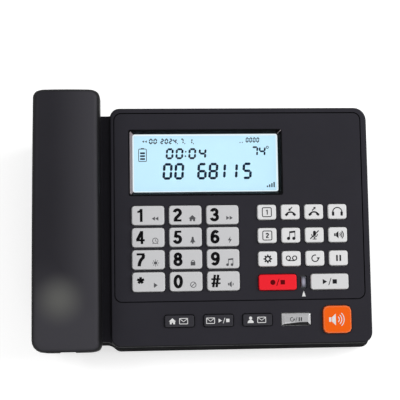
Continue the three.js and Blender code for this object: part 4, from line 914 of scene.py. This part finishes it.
def display_glass(look):
    """Lit crystal plate on top, faint vertical lines in it, and a dark frame everywhere below."""
    material, shader = blank_material("Display glass")
    tree = shader.id_data
    level, near = glass_level(), GLASS_TOLERANCE * MM
    above = maths("GREATER_THAN", deck_position(tree, OUT), level - near)
    below = maths("LESS_THAN", deck_position(tree, OUT), level + near)
    face = maths("MULTIPLY", above, below)
    texture = use_group(tree, moulded_grain_group, Grain_per_metre=900.0, Mottle_per_metre=9.0)
    pale = two_tone(value_range(texture["Mottle"], 0.0, 1.0, 0.35, 0.65), look.glass_colour, 0.98, 1.01)
    place = deck_vector(deck_position(tree, RIGHT), deck_position(tree, UP))
    waves = add_node(tree, "ShaderNodeTexWave", {"Vector": place, **GLASS_LINES}, bands_direction="X")
    lines = value_range(waves.outputs["Fac"], 0.0, GLASS_LINE_STRENGTH)
    pale = mix_colour(lines, pale, tinted(look.glass_colour, 0.9))
    low, high = deck_box("display_bezel")
    inset = (look.bezel_flange + look.opening_margin + look.border_width) * MM
    past = []
    for axis in (RIGHT, UP):
        off_middle = maths("ABSOLUTE", deck_offset(tree, axis, (low + high) / 2))
        past.append(maths("GREATER_THAN", off_middle, float(high[axis] - low[axis]) / 2 - inset))
    pale = mix_colour(maths("MAXIMUM", *past), pale, look.border_colour)
    returned = tinted(look.glass_colour, look.glass_reflection)
    feed(shader, {
        "Base Color": mix_colour(face, look.module_colour, returned),
        "Emission Color": mix_colour(face, BLACK, pale),
        "Emission Strength": look.backlight,
        "Roughness": 0.5,
        "Specular IOR Level": look.window_sheen,
    })
    return material


INK_SHEEN = 0.06


def ink(name, colour):
    """Printed ink: a little uneven, with a soft gloss."""
    material, shader = blank_material(name)
    texture = use_group(shader.id_data, moulded_grain_group, Grain_per_metre=2600.0, Mottle_per_metre=600.0)
    feed(shader, {
        "Base Color": two_tone(value_range(texture["Mottle"], 0.0, 1.0, *NOISE_SPAN), colour, 0.94, 1.04),
        "Roughness": value_range(texture["Height"], 0.4, 0.55),
        "Normal": bump(texture["Height"], 0.004),
        "Specular IOR Level": INK_SHEEN,
    })
    return material


# Weights of a metre across and along the lens in its paling, and the reaches where that starts and ends
LENS_STRETCH = (700.0, 300.0, 0.0)
LENS_FADE = (0.35, 1.2)


def lamp_lens(look):
    """Smoked lens, paler towards its middle, with a gloss coat."""
    material, shader = plastic(
        "Lamp lens", look.lamp_colour, roughness=0.25, grain=600.0, depth=0.002,
        edge=tinted(look.lamp_colour, 0.5), edge_radius=0.5, mottle=0.1,
    )
    low, high = deck_box("record_light")
    offset = deck_vector(*(deck_offset(shader.id_data, axis, (low + high) / 2) for axis in (RIGHT, UP)))
    reach = vector_maths("LENGTH", vector_maths("MULTIPLY", offset, LENS_STRETCH))
    cover(shader, value_range(reach, 1.0, 0.0, *LENS_FADE), look.lamp_centre_colour)
    feed(shader, {"Coat Weight": 0.6})
    return material


SOLDER = (0.55, 0.53, 0.48)
BOARD_TRACKS = {"Scale": 90.0, "Mortar Size": 0.03, "Brick Width": 0.9, "Row Height": 0.35}
BOARD_PADS = {"Scale": 260.0, "Randomness": 0.4}
PAD_RADIUS = 0.12


def circuit_board(look):
    """Solder mask over copper: tracks as the joints of a brick pattern, and paler pads."""
    material, shader = blank_material("Circuit board")
    tree = shader.id_data
    place = texture_place(tree)
    wander = noise(place, 30.0, Detail=1.0)
    tracks = add_node(tree, "ShaderNodeTexBrick", {"Vector": place, **BOARD_TRACKS}).outputs["Fac"]
    pads = add_node(tree, "ShaderNodeTexVoronoi", {"Vector": place, **BOARD_PADS}).outputs["Distance"]
    mask = two_tone(wander, look.board_colour, 1.0, 1.4)
    tracked = mix_colour(tracks, mask, tinted(look.board_colour, 2.0))
    feed(shader, {
        "Base Color": mix_colour(maths("LESS_THAN", pads, PAD_RADIUS), tracked, SOLDER),
        "Roughness": value_range(wander, 0.3, 0.5),
        "Normal": bump(tracks, 0.03, 0.6),
    })
    return material


def plated(name, colour, roughness, scratch_size=500.0):
    """Plated or drawn metal: fine streaks across one direction in colour, gloss and height."""
    material, shader = blank_material(name)
    tree = shader.id_data
    drawn = {"Vector": texture_place(tree), "Scale": (1.0, 0.08, 1.0)}
    stretched = add_node(tree, "ShaderNodeMapping", drawn).outputs["Vector"]
    streaks = noise(stretched, scratch_size * 4, Detail=4.0, Roughness=0.7)
    edge_wear_and_highlight = use_group(tree, edge_wear_and_highlight_group, Radius=0.3 * MM, Breakup=0.3)
    feed(shader, {
        # Paler edges: wear and a painted highlight
        "Base Color": mix_colour(edge_wear_and_highlight["Mask"], two_tone(streaks, colour, 0.85, 1.1), tinted(colour, 1.3)),
        "Metallic": 1.0,
        "Roughness": value_range(streaks, roughness - 0.08, roughness + 0.12),
        "Normal": bump(streaks, 0.01, 0.5),
    })
    return material


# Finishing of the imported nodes

BEVEL_SEGMENTS = 3
BEVEL_FROM_ANGLE = 28


def soften(piece, sharp, bevel):
    """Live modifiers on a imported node: weld and smooth, an optional small bevel, and even normals."""
    smooth = piece.modifiers.new("Soft edges", "NODES")
    smooth.node_group = group(soft_edges_group)
    angle = smooth.node_group.interface.items_tree["Sharp angle"]
    smooth[angle.identifier] = math.radians(sharp)
    if bevel:
        rounding = piece.modifiers.new("Rounded edges", "BEVEL")
        rounding.width = bevel * MM
        rounding.segments = BEVEL_SEGMENTS
        rounding.limit_method = "ANGLE"
        rounding.angle_limit = math.radians(BEVEL_FROM_ANGLE)
        rounding.harden_normals = True
    even = piece.modifiers.new("Even normals", "WEIGHTED_NORMAL")
    even.keep_sharp = True


def paint(piece, material):
    """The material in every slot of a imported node's object."""
    if not piece.material_slots:
        piece.data.materials.append(material)
    for place in piece.material_slots:
        place.material = material


def dress(finishes, sharp=38.0, bevel=0.0):
    """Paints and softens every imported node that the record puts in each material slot."""
    for slot, material in finishes.items():
        for part in frame["record"]["subparts"]:
            if part["material_slot"] == slot:
                piece = frame["nodes"][part["node"]]
                paint(piece, material)
                soften(piece, sharp, bevel)


def body_of_node(node):
    """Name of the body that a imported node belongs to."""
    return frame["nodes"][node].parent.name.removeprefix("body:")


# Screws under the base

SCREW_RADIUS = 2.4
# Shares of the radius
SCREW_SEAT = 0.3
DOME_RISE = 0.28
SLOT_HALF_WIDTH, SLOT_SOFTNESS = 0.13, 0.02
SLOT_DEPTH, SLOT_REACH, SLOT_FADE = 0.4, 0.62, 0.1
# Bores, in millimetres inwards from the panel's left, right and rear edges and up from the bezel's front edge
BORE_LEFT, BORE_RIGHT, BORE_REAR, BORE_FRONT = 4.1, 2.2, 3.55, 5.2
# The front row's two bores lie this much further in on the left and on the right
ROW_LEFT, ROW_RIGHT = 7.5, 0.3
BELOW_FEET = -10


def screw_head(name, x, y, z, radius, material, body):
    """Pan head seen from below: on a polar grid, z = z0 - (seat + dome - cross). The dome falls as r squared,
    the cross sinks where the lesser of |x| and |y| is inside the slot and r inside its reach."""
    rings, sides = 18, 48
    share = np.linspace(0, 1, rings)
    angle = np.linspace(0, 2 * math.pi, sides, endpoint=False)
    reach, turn = np.meshgrid(share * radius, angle, indexing="ij")
    across, along = reach * np.cos(turn), reach * np.sin(turn)
    dome = DOME_RISE * radius * (1 - (reach / radius) ** 2)
    narrow = np.minimum(np.abs(across), np.abs(along))
    inside = 1 / (1 + np.exp((narrow - SLOT_HALF_WIDTH * radius) / (SLOT_SOFTNESS * radius)))
    fade = np.clip((SLOT_REACH * radius - reach) / (SLOT_FADE * radius), 0, 1)
    height = z - (SCREW_SEAT * radius + dome - SLOT_DEPTH * radius * inside * fade)
    top = np.stack([x + across, y + along, height], -1).reshape(-1, 3)
    skirt = np.stack([x + across[-1], y + along[-1], np.full(sides, z)], -1)
    faces = grid_faces(rings + 1, sides, wrap=True).tolist()
    faces.append(list(range(rings * sides, (rings + 1) * sides)))
    close_up(new_piece(name, np.concatenate([top, skirt]), faces, material, body))


def close_up(piece, distance=0.001):
    """Merges doubled points of a closed piece and turns its faces outwards."""
    shape = bmesh.new()
    shape.from_mesh(piece.data)
    bmesh.ops.remove_doubles(shape, verts=shape.verts, dist=distance * MM)
    bmesh.ops.recalc_face_normals(shape, faces=shape.faces)
    shape.to_mesh(piece.data)
    shape.free()


def bore_places():
    """Middles of the six bores under the base, told from the panel, the bezel and the speaker key above."""
    panel_low, panel_high = deck_box("face_panel")
    key_low, key_high = deck_box("key_speakerphone")
    left, right = panel_low[RIGHT] + BORE_LEFT * MM, panel_high[RIGHT] - BORE_RIGHT * MM
    row, rear = (key_low[UP] + key_high[UP]) / 2, panel_high[UP] - BORE_REAR * MM
    front = deck_box("display_bezel")[0][UP] + BORE_FRONT * MM
    places = [(left + ROW_LEFT * MM, row), (right - ROW_RIGHT * MM, row)]
    places += [(left, front), (right, front), (left, rear), (right, rear)]
    return [tuple(float(value) for value in from_deck([*place, panel_high[OUT]])[:2]) for place in places]


# Settings that a user would change

def tone(name, place, red, green, blue):
    """Setting for the colour of a place, whose default is given in display values from 0 to 255."""
    return FloatVectorProperty(
        name=name, description=f"Colour {place}", subtype="COLOR", min=0, max=1,
        default=shade(red, green, blue),
    )


def amount(name, description, default, low=0, high=1):
    """Setting for a number between two limits."""
    return FloatProperty(name=name, description=description, default=default, min=low, max=high)


def millimetres(name, description, default, high, low=0):
    """Setting for a length in millimetres."""
    return amount(name, f"{description} in millimetres", default, low, high)


def place_on_key(name, sign, default):
    """Setting for one of the two offsets of a sign on its key."""
    description = f"{sign}'s place from the key's middle in millimetres"
    return FloatProperty(name=name, description=description, default=default)


def lamp_power(name, place, default):
    """Setting for the power of a lamp at a place."""
    return FloatProperty(
        name=name, description=f"Power of the lamp {place}", subtype="POWER", unit="POWER", min=0,
        default=default,
    )


class CasingLook(bpy.types.PropertyGroup):
    """Colours and surface of the casing and the handset"""

    deck_colour: tone("Deck", "of the deck and its panel", 46, 45, 51)
    handset_colour: tone("Handset", "of both handset shells", 42, 41, 46)
    base_colour: tone("Base", "of the lower casing", 44, 44, 47)
    # Edge colour: wear, and a painted highlight where it is paler
    worn_edge_highlight_colour: tone("Worn edge", "of rubbed edges", 48, 47, 52)
    rubber_colour: tone("Rubber", "of the feet and the key mat", 40, 40, 42)
    socket_colour: tone("Sockets", "of sockets and switch", 26, 26, 28)
    board_colour: tone("Board", "of the boards' solder mask", 22, 84, 52)
    # Painted highlight near the handset's lower end
    painted_highlight_colour: tone("Rubbed patch", "of the rubbed patch on the handset", 97, 97, 95)
    # Painted light on the handset's right side and lower end
    painted_light_colour: tone("Palm side", "of the handset's right side, which the palm polishes", 66, 65, 70)
    # Painted shade where the casing and the handset turn down, and on the base's front wall
    turned_down_shade_colour: tone("Rounded edge", "where the casing and the handset turn down", 17, 17, 19)
    # Place and size of the painted highlight on the handset
    painted_highlight_across: amount("Patch across", "Share of the handset's width", 0.41)
    painted_highlight_along: amount("Patch along", "Share of the handset's length from its lower end", 0.2)
    painted_highlight_radius: millimetres("Patch radius", "Radius of the patch", 22, 90, 1)
    roughness: amount("Roughness", "Roughness of the matt plastic", 0.52)
    specular: amount("Specular", "Strength of the matt plastic's sheen", 0.06)
    base_specular: amount("Base specular", "Strength of the lower casing's sheen", 0.01)
    grain: amount("Grain", "Grains in a metre", 2200, 100, 9000)
    grain_depth: millimetres("Grain depth", "Depth of the mould grain", 0.03, 1)


class KeyLook(bpy.types.PropertyGroup):
    """Colours and surface of the keys, and sizes of their signs"""

    dial_colour: tone("Dial keys", "of the twelve dial keys", 213, 213, 215)
    function_colour: tone("Function keys", "of the function keys", 236, 236, 237)
    white_colour: tone("Play key", "of the long white key", 226, 226, 227)
    # Painted highlight on the rims of the light keys
    rim_highlight_colour: tone("Rim", "at the edges of the light keys", 246, 246, 247)
    red_colour: tone("Record key", "of the record key", 249, 32, 46)
    orange_colour: tone("Speaker key", "of the speaker key", 255, 101, 2)
    # Painted highlight on the speaker key's rim
    orange_rim_highlight_colour: tone("Speaker rim", "at the speaker key's edges", 255, 190, 150)
    silver_colour: tone("Redial key", "of the silver key", 178, 178, 180)
    # Painted shade on the silver key's front bevel
    bevel_shade_colour: tone("Redial bevel", "of the silver key's front bevel", 8, 8, 9)
    dark_colour: tone("Message keys", "of the dark keys", 45, 44, 50)
    dark_ink: tone("Dark ink", "of dark legends", 10, 10, 12)
    grey_ink: tone("Grey ink", "of the function keys' legends", 30, 30, 33)
    white_ink: tone("White ink", "of white legends", 236, 236, 236)
    red_ink: tone("Record legend", "of the legend on the red key", 96, 4, 10)
    second_ink: tone("Pale ink", "of the dial keys' small signs", 92, 92, 95)
    figure_height: millimetres("Figure height", "Height of a dial figure", 9.6, 14, 1)
    figure_width: amount("Figure width", "Width of a dial figure against its drawn width", 1.07, 0.5, 2)
    figure_x: place_on_key("Figure across", "Figure", -5.9)
    figure_y: place_on_key("Figure up", "Figure", 0.1)
    second_size: amount("Small sign size", "Scale of the dial keys' small signs", 1.05, 0.1, 3)
    second_x: place_on_key("Small sign across", "Small sign", 5.2)
    second_y: place_on_key("Small sign up", "Small sign", -2.4)
    function_size: amount("Function sign size", "Scale of the function keys' signs", 1.25, 0.1, 3)
    # Width of the painted rim highlight
    rim_highlight_width: millimetres("Rim width", "Width of the pale rim", 1.2, 3)
    roughness: amount("Roughness", "Roughness of the key caps", 0.42)
    specular: amount("Specular", "Strength of the key caps' sheen", 0.2)
    grain: amount("Grain", "Grains in a metre", 2400, 100, 9000)
    grain_depth: millimetres("Grain depth", "Depth of the key grain", 0.012, 1)


class DisplayLook(bpy.types.PropertyGroup):
    """Colours and sizes of the display, its bevel and the lamp"""

    glass_colour: tone("Glass", "of the lit display", 196, 236, 255)
    figure_colour: tone("Figures", "of the display's figures", 0, 24, 48)
    module_colour: tone("Module", "of the module behind the glass", 60, 60, 64)
    bezel_colour: tone("Bezel", "of the black bevel", 7, 7, 9)
    # Painted reflection on the bevel's left wall and painted glint on its mitre
    painted_reflection_colour: tone("Silver strip", "of the bevel's left wall", 150, 141, 145)
    border_colour: tone("Border", "of the lit display at its edge", 238, 250, 255)
    lamp_colour: tone("Lamp", "of the record lamp's lens", 36, 40, 52)
    lamp_centre_colour: tone("Lamp middle", "at the middle of the lens", 160, 158, 178)
    bezel_flange: millimetres("Bezel flange", "Width of the bezel's hidden flange", 2.0, 9)
    # Width and reach of the painted glint on the mitre
    mitre_glint_width: millimetres("Mitre width", "Width of the silver line on the mitre", 0.7, 3)
    mitre_glint_reach: millimetres("Mitre reach", "Reach of the silver line from the corner", 2.9, 9)
    border_width: millimetres("Border width", "Width of the pale edge", 1.0, 9)
    opening_margin: millimetres("Opening margin", "Bezel's edge to its opening", 2.7, 9)
    window_bending: amount(
        "Window bending", "Index of refraction of the window, low so that it hardly mirrors", 1.12, 1, 2
    )
    window_sheen: amount("Window sheen", "Strength of the window's reflection", 0.05)
    glass_reflection: amount("Reflection", "Share of the room's light that the display returns", 0.15)
    backlight: amount("Backlight", "Strength of the display's own light", 0.88, 0, 5)
    slant: amount("Slant", "Lean of the figures, as a share of their height", 0.07, 0, 0.5)


class StudioLook(bpy.types.PropertyGroup):
    """Floor, lamps and camera"""

    floor_colour: FloatVectorProperty(
        name="Floor", description="Colour of the floor", subtype="COLOR", min=0, max=1,
        default=(0.8, 0.8, 0.8),
    )
    floor_lift: amount("Floor lift", "Light that the camera sees on the floor beside its own", 0.55)
    foot_gap: millimetres("Foot gap", "Height under the base that light from below crosses,", 12.0, 30)
    world_strength: amount("Sky", "Strength of the even light from all round", 0.3, 0, 5)
    right_power: lamp_power("Right lamp", "on the right", 15.0)
    left_power: lamp_power("Left lamp", "on the left", 9.0)
    front_power: lamp_power("Front lamp", "in front", 5.0)
    camera_place: FloatVectorProperty(
        name="Camera", description="Place of the camera", subtype="TRANSLATION", unit="LENGTH",
        default=(-0.042468, -0.170224, 0.69157),
    )
    camera_turn: FloatVectorProperty(
        name="Camera turn", description="Turn of the camera about X, Y and Z", subtype="EULER",
        unit="ROTATION", default=(0.281097, -0.053579, -0.025601),
    )
    lens: millimetres("Lens", "Focal length", 81.0, 300, 10)


# Operators, one for each piece or group of like pieces

class PHONE_OT_casing(bpy.types.Operator):
    """Finishes the casing halves, face panel, battery door and feet"""

    bl_idname = "phone.casing"
    bl_label = "Casing"

    def execute(self, context):
        look = context.scene.phone_casing
        dress({
            "deck_plastic": deck_plastic(look),
            "base_plastic": base_plastic(look),
            "rubber": rubber(look),
        })
        return {"FINISHED"}


class PHONE_OT_handset(bpy.types.Operator):
    """Finishes both shells of the handset"""

    bl_idname = "phone.handset"
    bl_label = "Handset"

    def execute(self, context):
        dress({"handset_plastic": handset_plastic(context.scene.phone_casing)})
        return {"FINISHED"}


class PHONE_OT_keys(bpy.types.Operator):
    """Finishes all keys and the hook plunger"""

    bl_idname = "phone.keys"
    bl_label = "Keys"

    def execute(self, context):
        look = context.scene.phone_keys
        dress({
            "dial_key": key_plastic("Dial key", look.dial_colour, look.rim_highlight_colour, look),
            "function_key": key_plastic("Function key", look.function_colour, look.rim_highlight_colour, look),
            "white_key": key_plastic("White key", look.white_colour, look.rim_highlight_colour, look),
            "red_key": key_plastic("Red key", look.red_colour, tinted(look.red_colour, 1.25), look),
            "orange_key": key_plastic("Orange key", look.orange_colour, look.orange_rim_highlight_colour, look, 0.3),
            "dark_key": key_plastic("Dark key", look.dark_colour, tinted(look.dark_colour, 1.08), look),
            "silver_key": silver_paint(look),
        }, sharp=30.0, bevel=0.22)
        return {"FINISHED"}


class PHONE_OT_display(bpy.types.Operator):
    """Finishes the display, its bevel and window, and lays the figures on it"""

    bl_idname = "phone.display"
    bl_label = "Display"

    def execute(self, context):
        look = context.scene.phone_display
        dress({
            "bezel": gloss_black(look),
            "clear_window": clear_window(look),
            "display": display_glass(look),
            "lamp_lens": lamp_lens(look),
        })
        low, high = deck_box("display_bezel")
        figure_ink = ink("Display ink", look.figure_colour)
        middle, shapes = (low + high) / 2, display_shapes(look)
        printed("display_figures", shapes, middle, glass_level(), figure_ink, "base", DISPLAY_INK_THICKNESS)
        return {"FINISHED"}


def print_on_key(node, shapes, material, x=0.0, y=0.0, mark="legend_"):
    """Prints shapes on a key's top, a place away from its middle in millimetres."""
    low, high = deck_box(node)
    centre = (low + high)[:2] / 2 + np.array([x, y]) * MM
    printed(node.replace("key_", mark), shapes, centre, high[OUT], material, body_of_node(node))


def print_dial_keys(look, dark, second):
    """The large figure and the small sign of each dial key."""
    height = look.figure_height
    for figure in DIAL_FIGURES:
        shapes = moved(bold_figure(figure), -FIGURE_MIDDLE * height, -0.5 * height, 0, height)
        shapes = [(points * (look.figure_width, 1), faces) for points, faces in shapes]
        print_on_key(f"key_{figure}", shapes, dark, look.figure_x, look.figure_y)
    for node, shapes in SECOND_SIGNS.items():
        shapes = moved(shapes, size=look.second_size)
        print_on_key(node, shapes, second, look.second_x, look.second_y, "second_")


# The pointer under the lamp, and how far below the lens its place is, in millimetres
LAMP_POINTER = [outline_shape([(-1.4, -3.2), (1.4, -3.2), (0, 1.0)])]
LAMP_POINTER_GAP = 2.2


class PHONE_OT_legends(bpy.types.Operator):
    """Prints figures and signs on the keys and the pointer beside the lamp"""

    bl_idname = "phone.legends"
    bl_label = "Legends"

    def execute(self, context):
        look = context.scene.phone_keys
        dark, grey = ink("Dark ink", look.dark_ink), ink("Grey ink", look.grey_ink)
        white, red = ink("White ink", look.white_ink), ink("Record ink", look.red_ink)
        print_dial_keys(look, dark, ink("Pale ink", look.second_ink))
        for node, shapes in FUNCTION_SIGNS.items():
            print_on_key(node, moved(shapes, size=look.function_size), grey)
        print_on_key("key_record_stop", moved(RECORD_STOP, size=look.function_size), red)
        print_on_key("key_record_play", moved(PLAY_STOP, size=look.function_size), grey)
        for node, shapes in FRONT_SIGNS.items():
            print_on_key(node, shapes, dark if node == "key_redial" else white)
        low, high = deck_box("record_light")
        place = [(low[RIGHT] + high[RIGHT]) / 2, low[UP] - LAMP_POINTER_GAP * MM]
        printed("lamp_pointer", LAMP_POINTER, place, deck_box("face_panel")[1][OUT], white, "base")
        return {"FINISHED"}


class PHONE_OT_inside(bpy.types.Operator):
    """Finishes boards, sockets, sound parts and the hook spring"""

    bl_idname = "phone.inside"
    bl_label = "Inside parts"

    def execute(self, context):
        look = context.scene.phone_casing
        dress({
            "circuit_board": circuit_board(look),
            "transducer_metal": plated("Plated can", shade(180, 181, 183), 0.3),
            "spring_steel": plated("Spring wire", shade(190, 190, 194), 0.25, 900.0),
            "socket_plastic": socket_plastic(look),
        })
        return {"FINISHED"}


class PHONE_OT_screws(bpy.types.Operator):
    """Puts a screw head at the end of each bore under the base"""

    bl_idname = "phone.screws"
    bl_label = "Casing screws"

    def execute(self, context):
        steel = plated("Screw steel", shade(150, 151, 154), 0.3)
        shell = frame["nodes"]["lower_shell"]
        for number, (x, y) in enumerate(bore_places(), 1):
            below, upwards = Vector((x, y, BELOW_FEET * MM)), Vector((0, 0, 1))
            hit, place, _, _ = shell.ray_cast(below, upwards)
            if not hit:
                raise RuntimeError(f"no bore above screw {number}")
            screw_head(f"casing_screw_{number}", x, y, place.z, SCREW_RADIUS * MM, steel, "base")
        return {"FINISHED"}


class PHONE_OT_studio(bpy.types.Operator):
    """Makes the floor, the lamps and the camera"""

    bl_idname = "phone.studio"
    bl_label = "Studio"

    def execute(self, context):
        scene = context.scene
        look = scene.phone_studio
        make_floor(look)
        make_world(scene, look)
        make_lamp("right_lamp", (1.25, 0.25, 1.0), look.right_power)
        make_lamp("left_lamp", (-1.25, 0.5, 1.25), look.left_power)
        make_lamp("front_lamp", (0.1, -1.5, 1.1), look.front_power)
        camera_data = bpy.data.cameras.new("camera")
        camera_data.lens = look.lens
        camera_data.sensor_width = 36
        camera_data.clip_start = 0.01
        camera = bpy.data.objects.new("camera", camera_data)
        camera.location = look.camera_place
        camera.rotation_euler = look.camera_turn
        scene.collection.objects.link(camera)
        scene.camera = camera
        scene.view_settings.view_transform = "Standard"
        return {"FINISHED"}


def seen_rays(tree):
    """Value 1 on camera, gloss and glass rays, which see the white background, and the light path."""
    path = add_node(tree, "ShaderNodeLightPath").outputs
    seen = maths("MAXIMUM", path["Is Camera Ray"], path["Is Glossy Ray"])
    return maths("MAXIMUM", seen, path["Is Transmission Ray"]), path


# Distances from the middle, in metres, between which the floor's own light rises to white
FLOOR_FADE = (0.4, 1.6)


def make_floor(look, reach=4.0):
    """Square floor at height 0. The camera, gloss and glass see its own light besides the lamps', which
    rises to white far from the middle. It is clear from below, and to light on its way to the underside."""
    corners = np.array([(-1, -1, 0), (1, -1, 0), (1, 1, 0), (-1, 1, 0)]) * reach
    mesh = bpy.data.meshes.new("floor")
    mesh.from_pydata(corners.tolist(), [], [(0, 1, 2, 3)])
    floor = bpy.data.objects.new("floor", mesh)
    bpy.context.scene.collection.objects.link(floor)
    material, shader = blank_material("Floor")
    tree = shader.id_data
    seen, path = seen_rays(tree)
    own = value_range(vector_maths("LENGTH", texture_place(tree)), look.floor_lift, 1.0, *FLOOR_FADE)
    feed(shader, {
        "Base Color": (*look.floor_colour, 1.0),
        "Roughness": 0.9,
        "Specular IOR Level": 0.0,
        "Emission Color": (*WHITE, 1.0),
        "Emission Strength": maths("MULTIPLY", seen, own),
    })
    below = add_node(tree, "ShaderNodeNewGeometry").outputs["Backfacing"]
    close = maths("LESS_THAN", path["Ray Length"], look.foot_gap * MM)
    scattered = maths("MULTIPLY", maths("LESS_THAN", path["Is Camera Ray"], 0.5), close)
    clear = add_node(tree, "ShaderNodeBsdfTransparent").outputs["BSDF"]
    ends = {"Fac": maths("MAXIMUM", below, scattered), 1: shader.outputs["BSDF"], 2: clear}
    mixed = add_node(tree, "ShaderNodeMixShader", ends)
    out = next(node for node in tree.nodes if node.type == "OUTPUT_MATERIAL")
    feed(out, {"Surface": mixed.outputs["Shader"]})
    mesh.materials.append(material)


def make_world(scene, look):
    """Even pale light from all round, and white where the camera looks past the floor."""
    world = bpy.data.worlds.new("world")
    world.use_nodes = True
    tree = world.node_tree
    tree.nodes.clear()
    strength = value_range(seen_rays(tree)[0], look.world_strength, 1.0)
    background = add_node(tree, "ShaderNodeBackground", {"Color": (*WHITE, 1.0), "Strength": strength})
    add_node(tree, "ShaderNodeOutputWorld", {"Surface": background.outputs["Background"]})
    scene.world = world


def make_lamp(name, place, power, size=0.9):
    """Square area lamp that looks at the origin."""
    data = bpy.data.lights.new(name, "AREA")
    data.shape = "SQUARE"
    data.size = size
    data.energy = power
    lamp = bpy.data.objects.new(name, data)
    lamp.location = place
    lamp.rotation_euler = (-Vector(place)).to_track_quat("-Z", "Y").to_euler()
    bpy.context.scene.collection.objects.link(lamp)


OPERATORS = (
    PHONE_OT_casing,
    PHONE_OT_handset,
    PHONE_OT_keys,
    PHONE_OT_display,
    PHONE_OT_legends,
    PHONE_OT_inside,
    PHONE_OT_screws,
    PHONE_OT_studio,
)


class PHONE_PT_looks(bpy.types.Panel):
    """Lists the steps that dress the telephone"""

    bl_idname = "PHONE_PT_looks"
    bl_label = "Telephone"
    bl_space_type = "VIEW_3D"
    bl_region_type = "UI"
    bl_category = "Telephone"

    def draw(self, context):
        for operator in OPERATORS:
            self.layout.operator(operator.bl_idname)


CLASSES = (CasingLook, KeyLook, DisplayLook, StudioLook, *OPERATORS, PHONE_PT_looks)
LOOKS = {
    "phone_casing": CasingLook,
    "phone_keys": KeyLook,
    "phone_display": DisplayLook,
    "phone_studio": StudioLook,
}


def register():
    for item in CLASSES:
        bpy.utils.register_class(item)
    for name, look in LOOKS.items():
        setattr(bpy.types.Scene, name, PointerProperty(type=look))


def unregister():
    for name in LOOKS:
        delattr(bpy.types.Scene, name)
    for item in reversed(CLASSES):
        bpy.utils.unregister_class(item)


def main():
    register()
    bpy.ops.phone.casing()
    bpy.ops.phone.handset()
    bpy.ops.phone.keys()
    bpy.ops.phone.display()
    bpy.ops.phone.legends()
    bpy.ops.phone.inside()
    bpy.ops.phone.screws()
    bpy.ops.phone.studio()


if __name__ == "__main__":
    main()
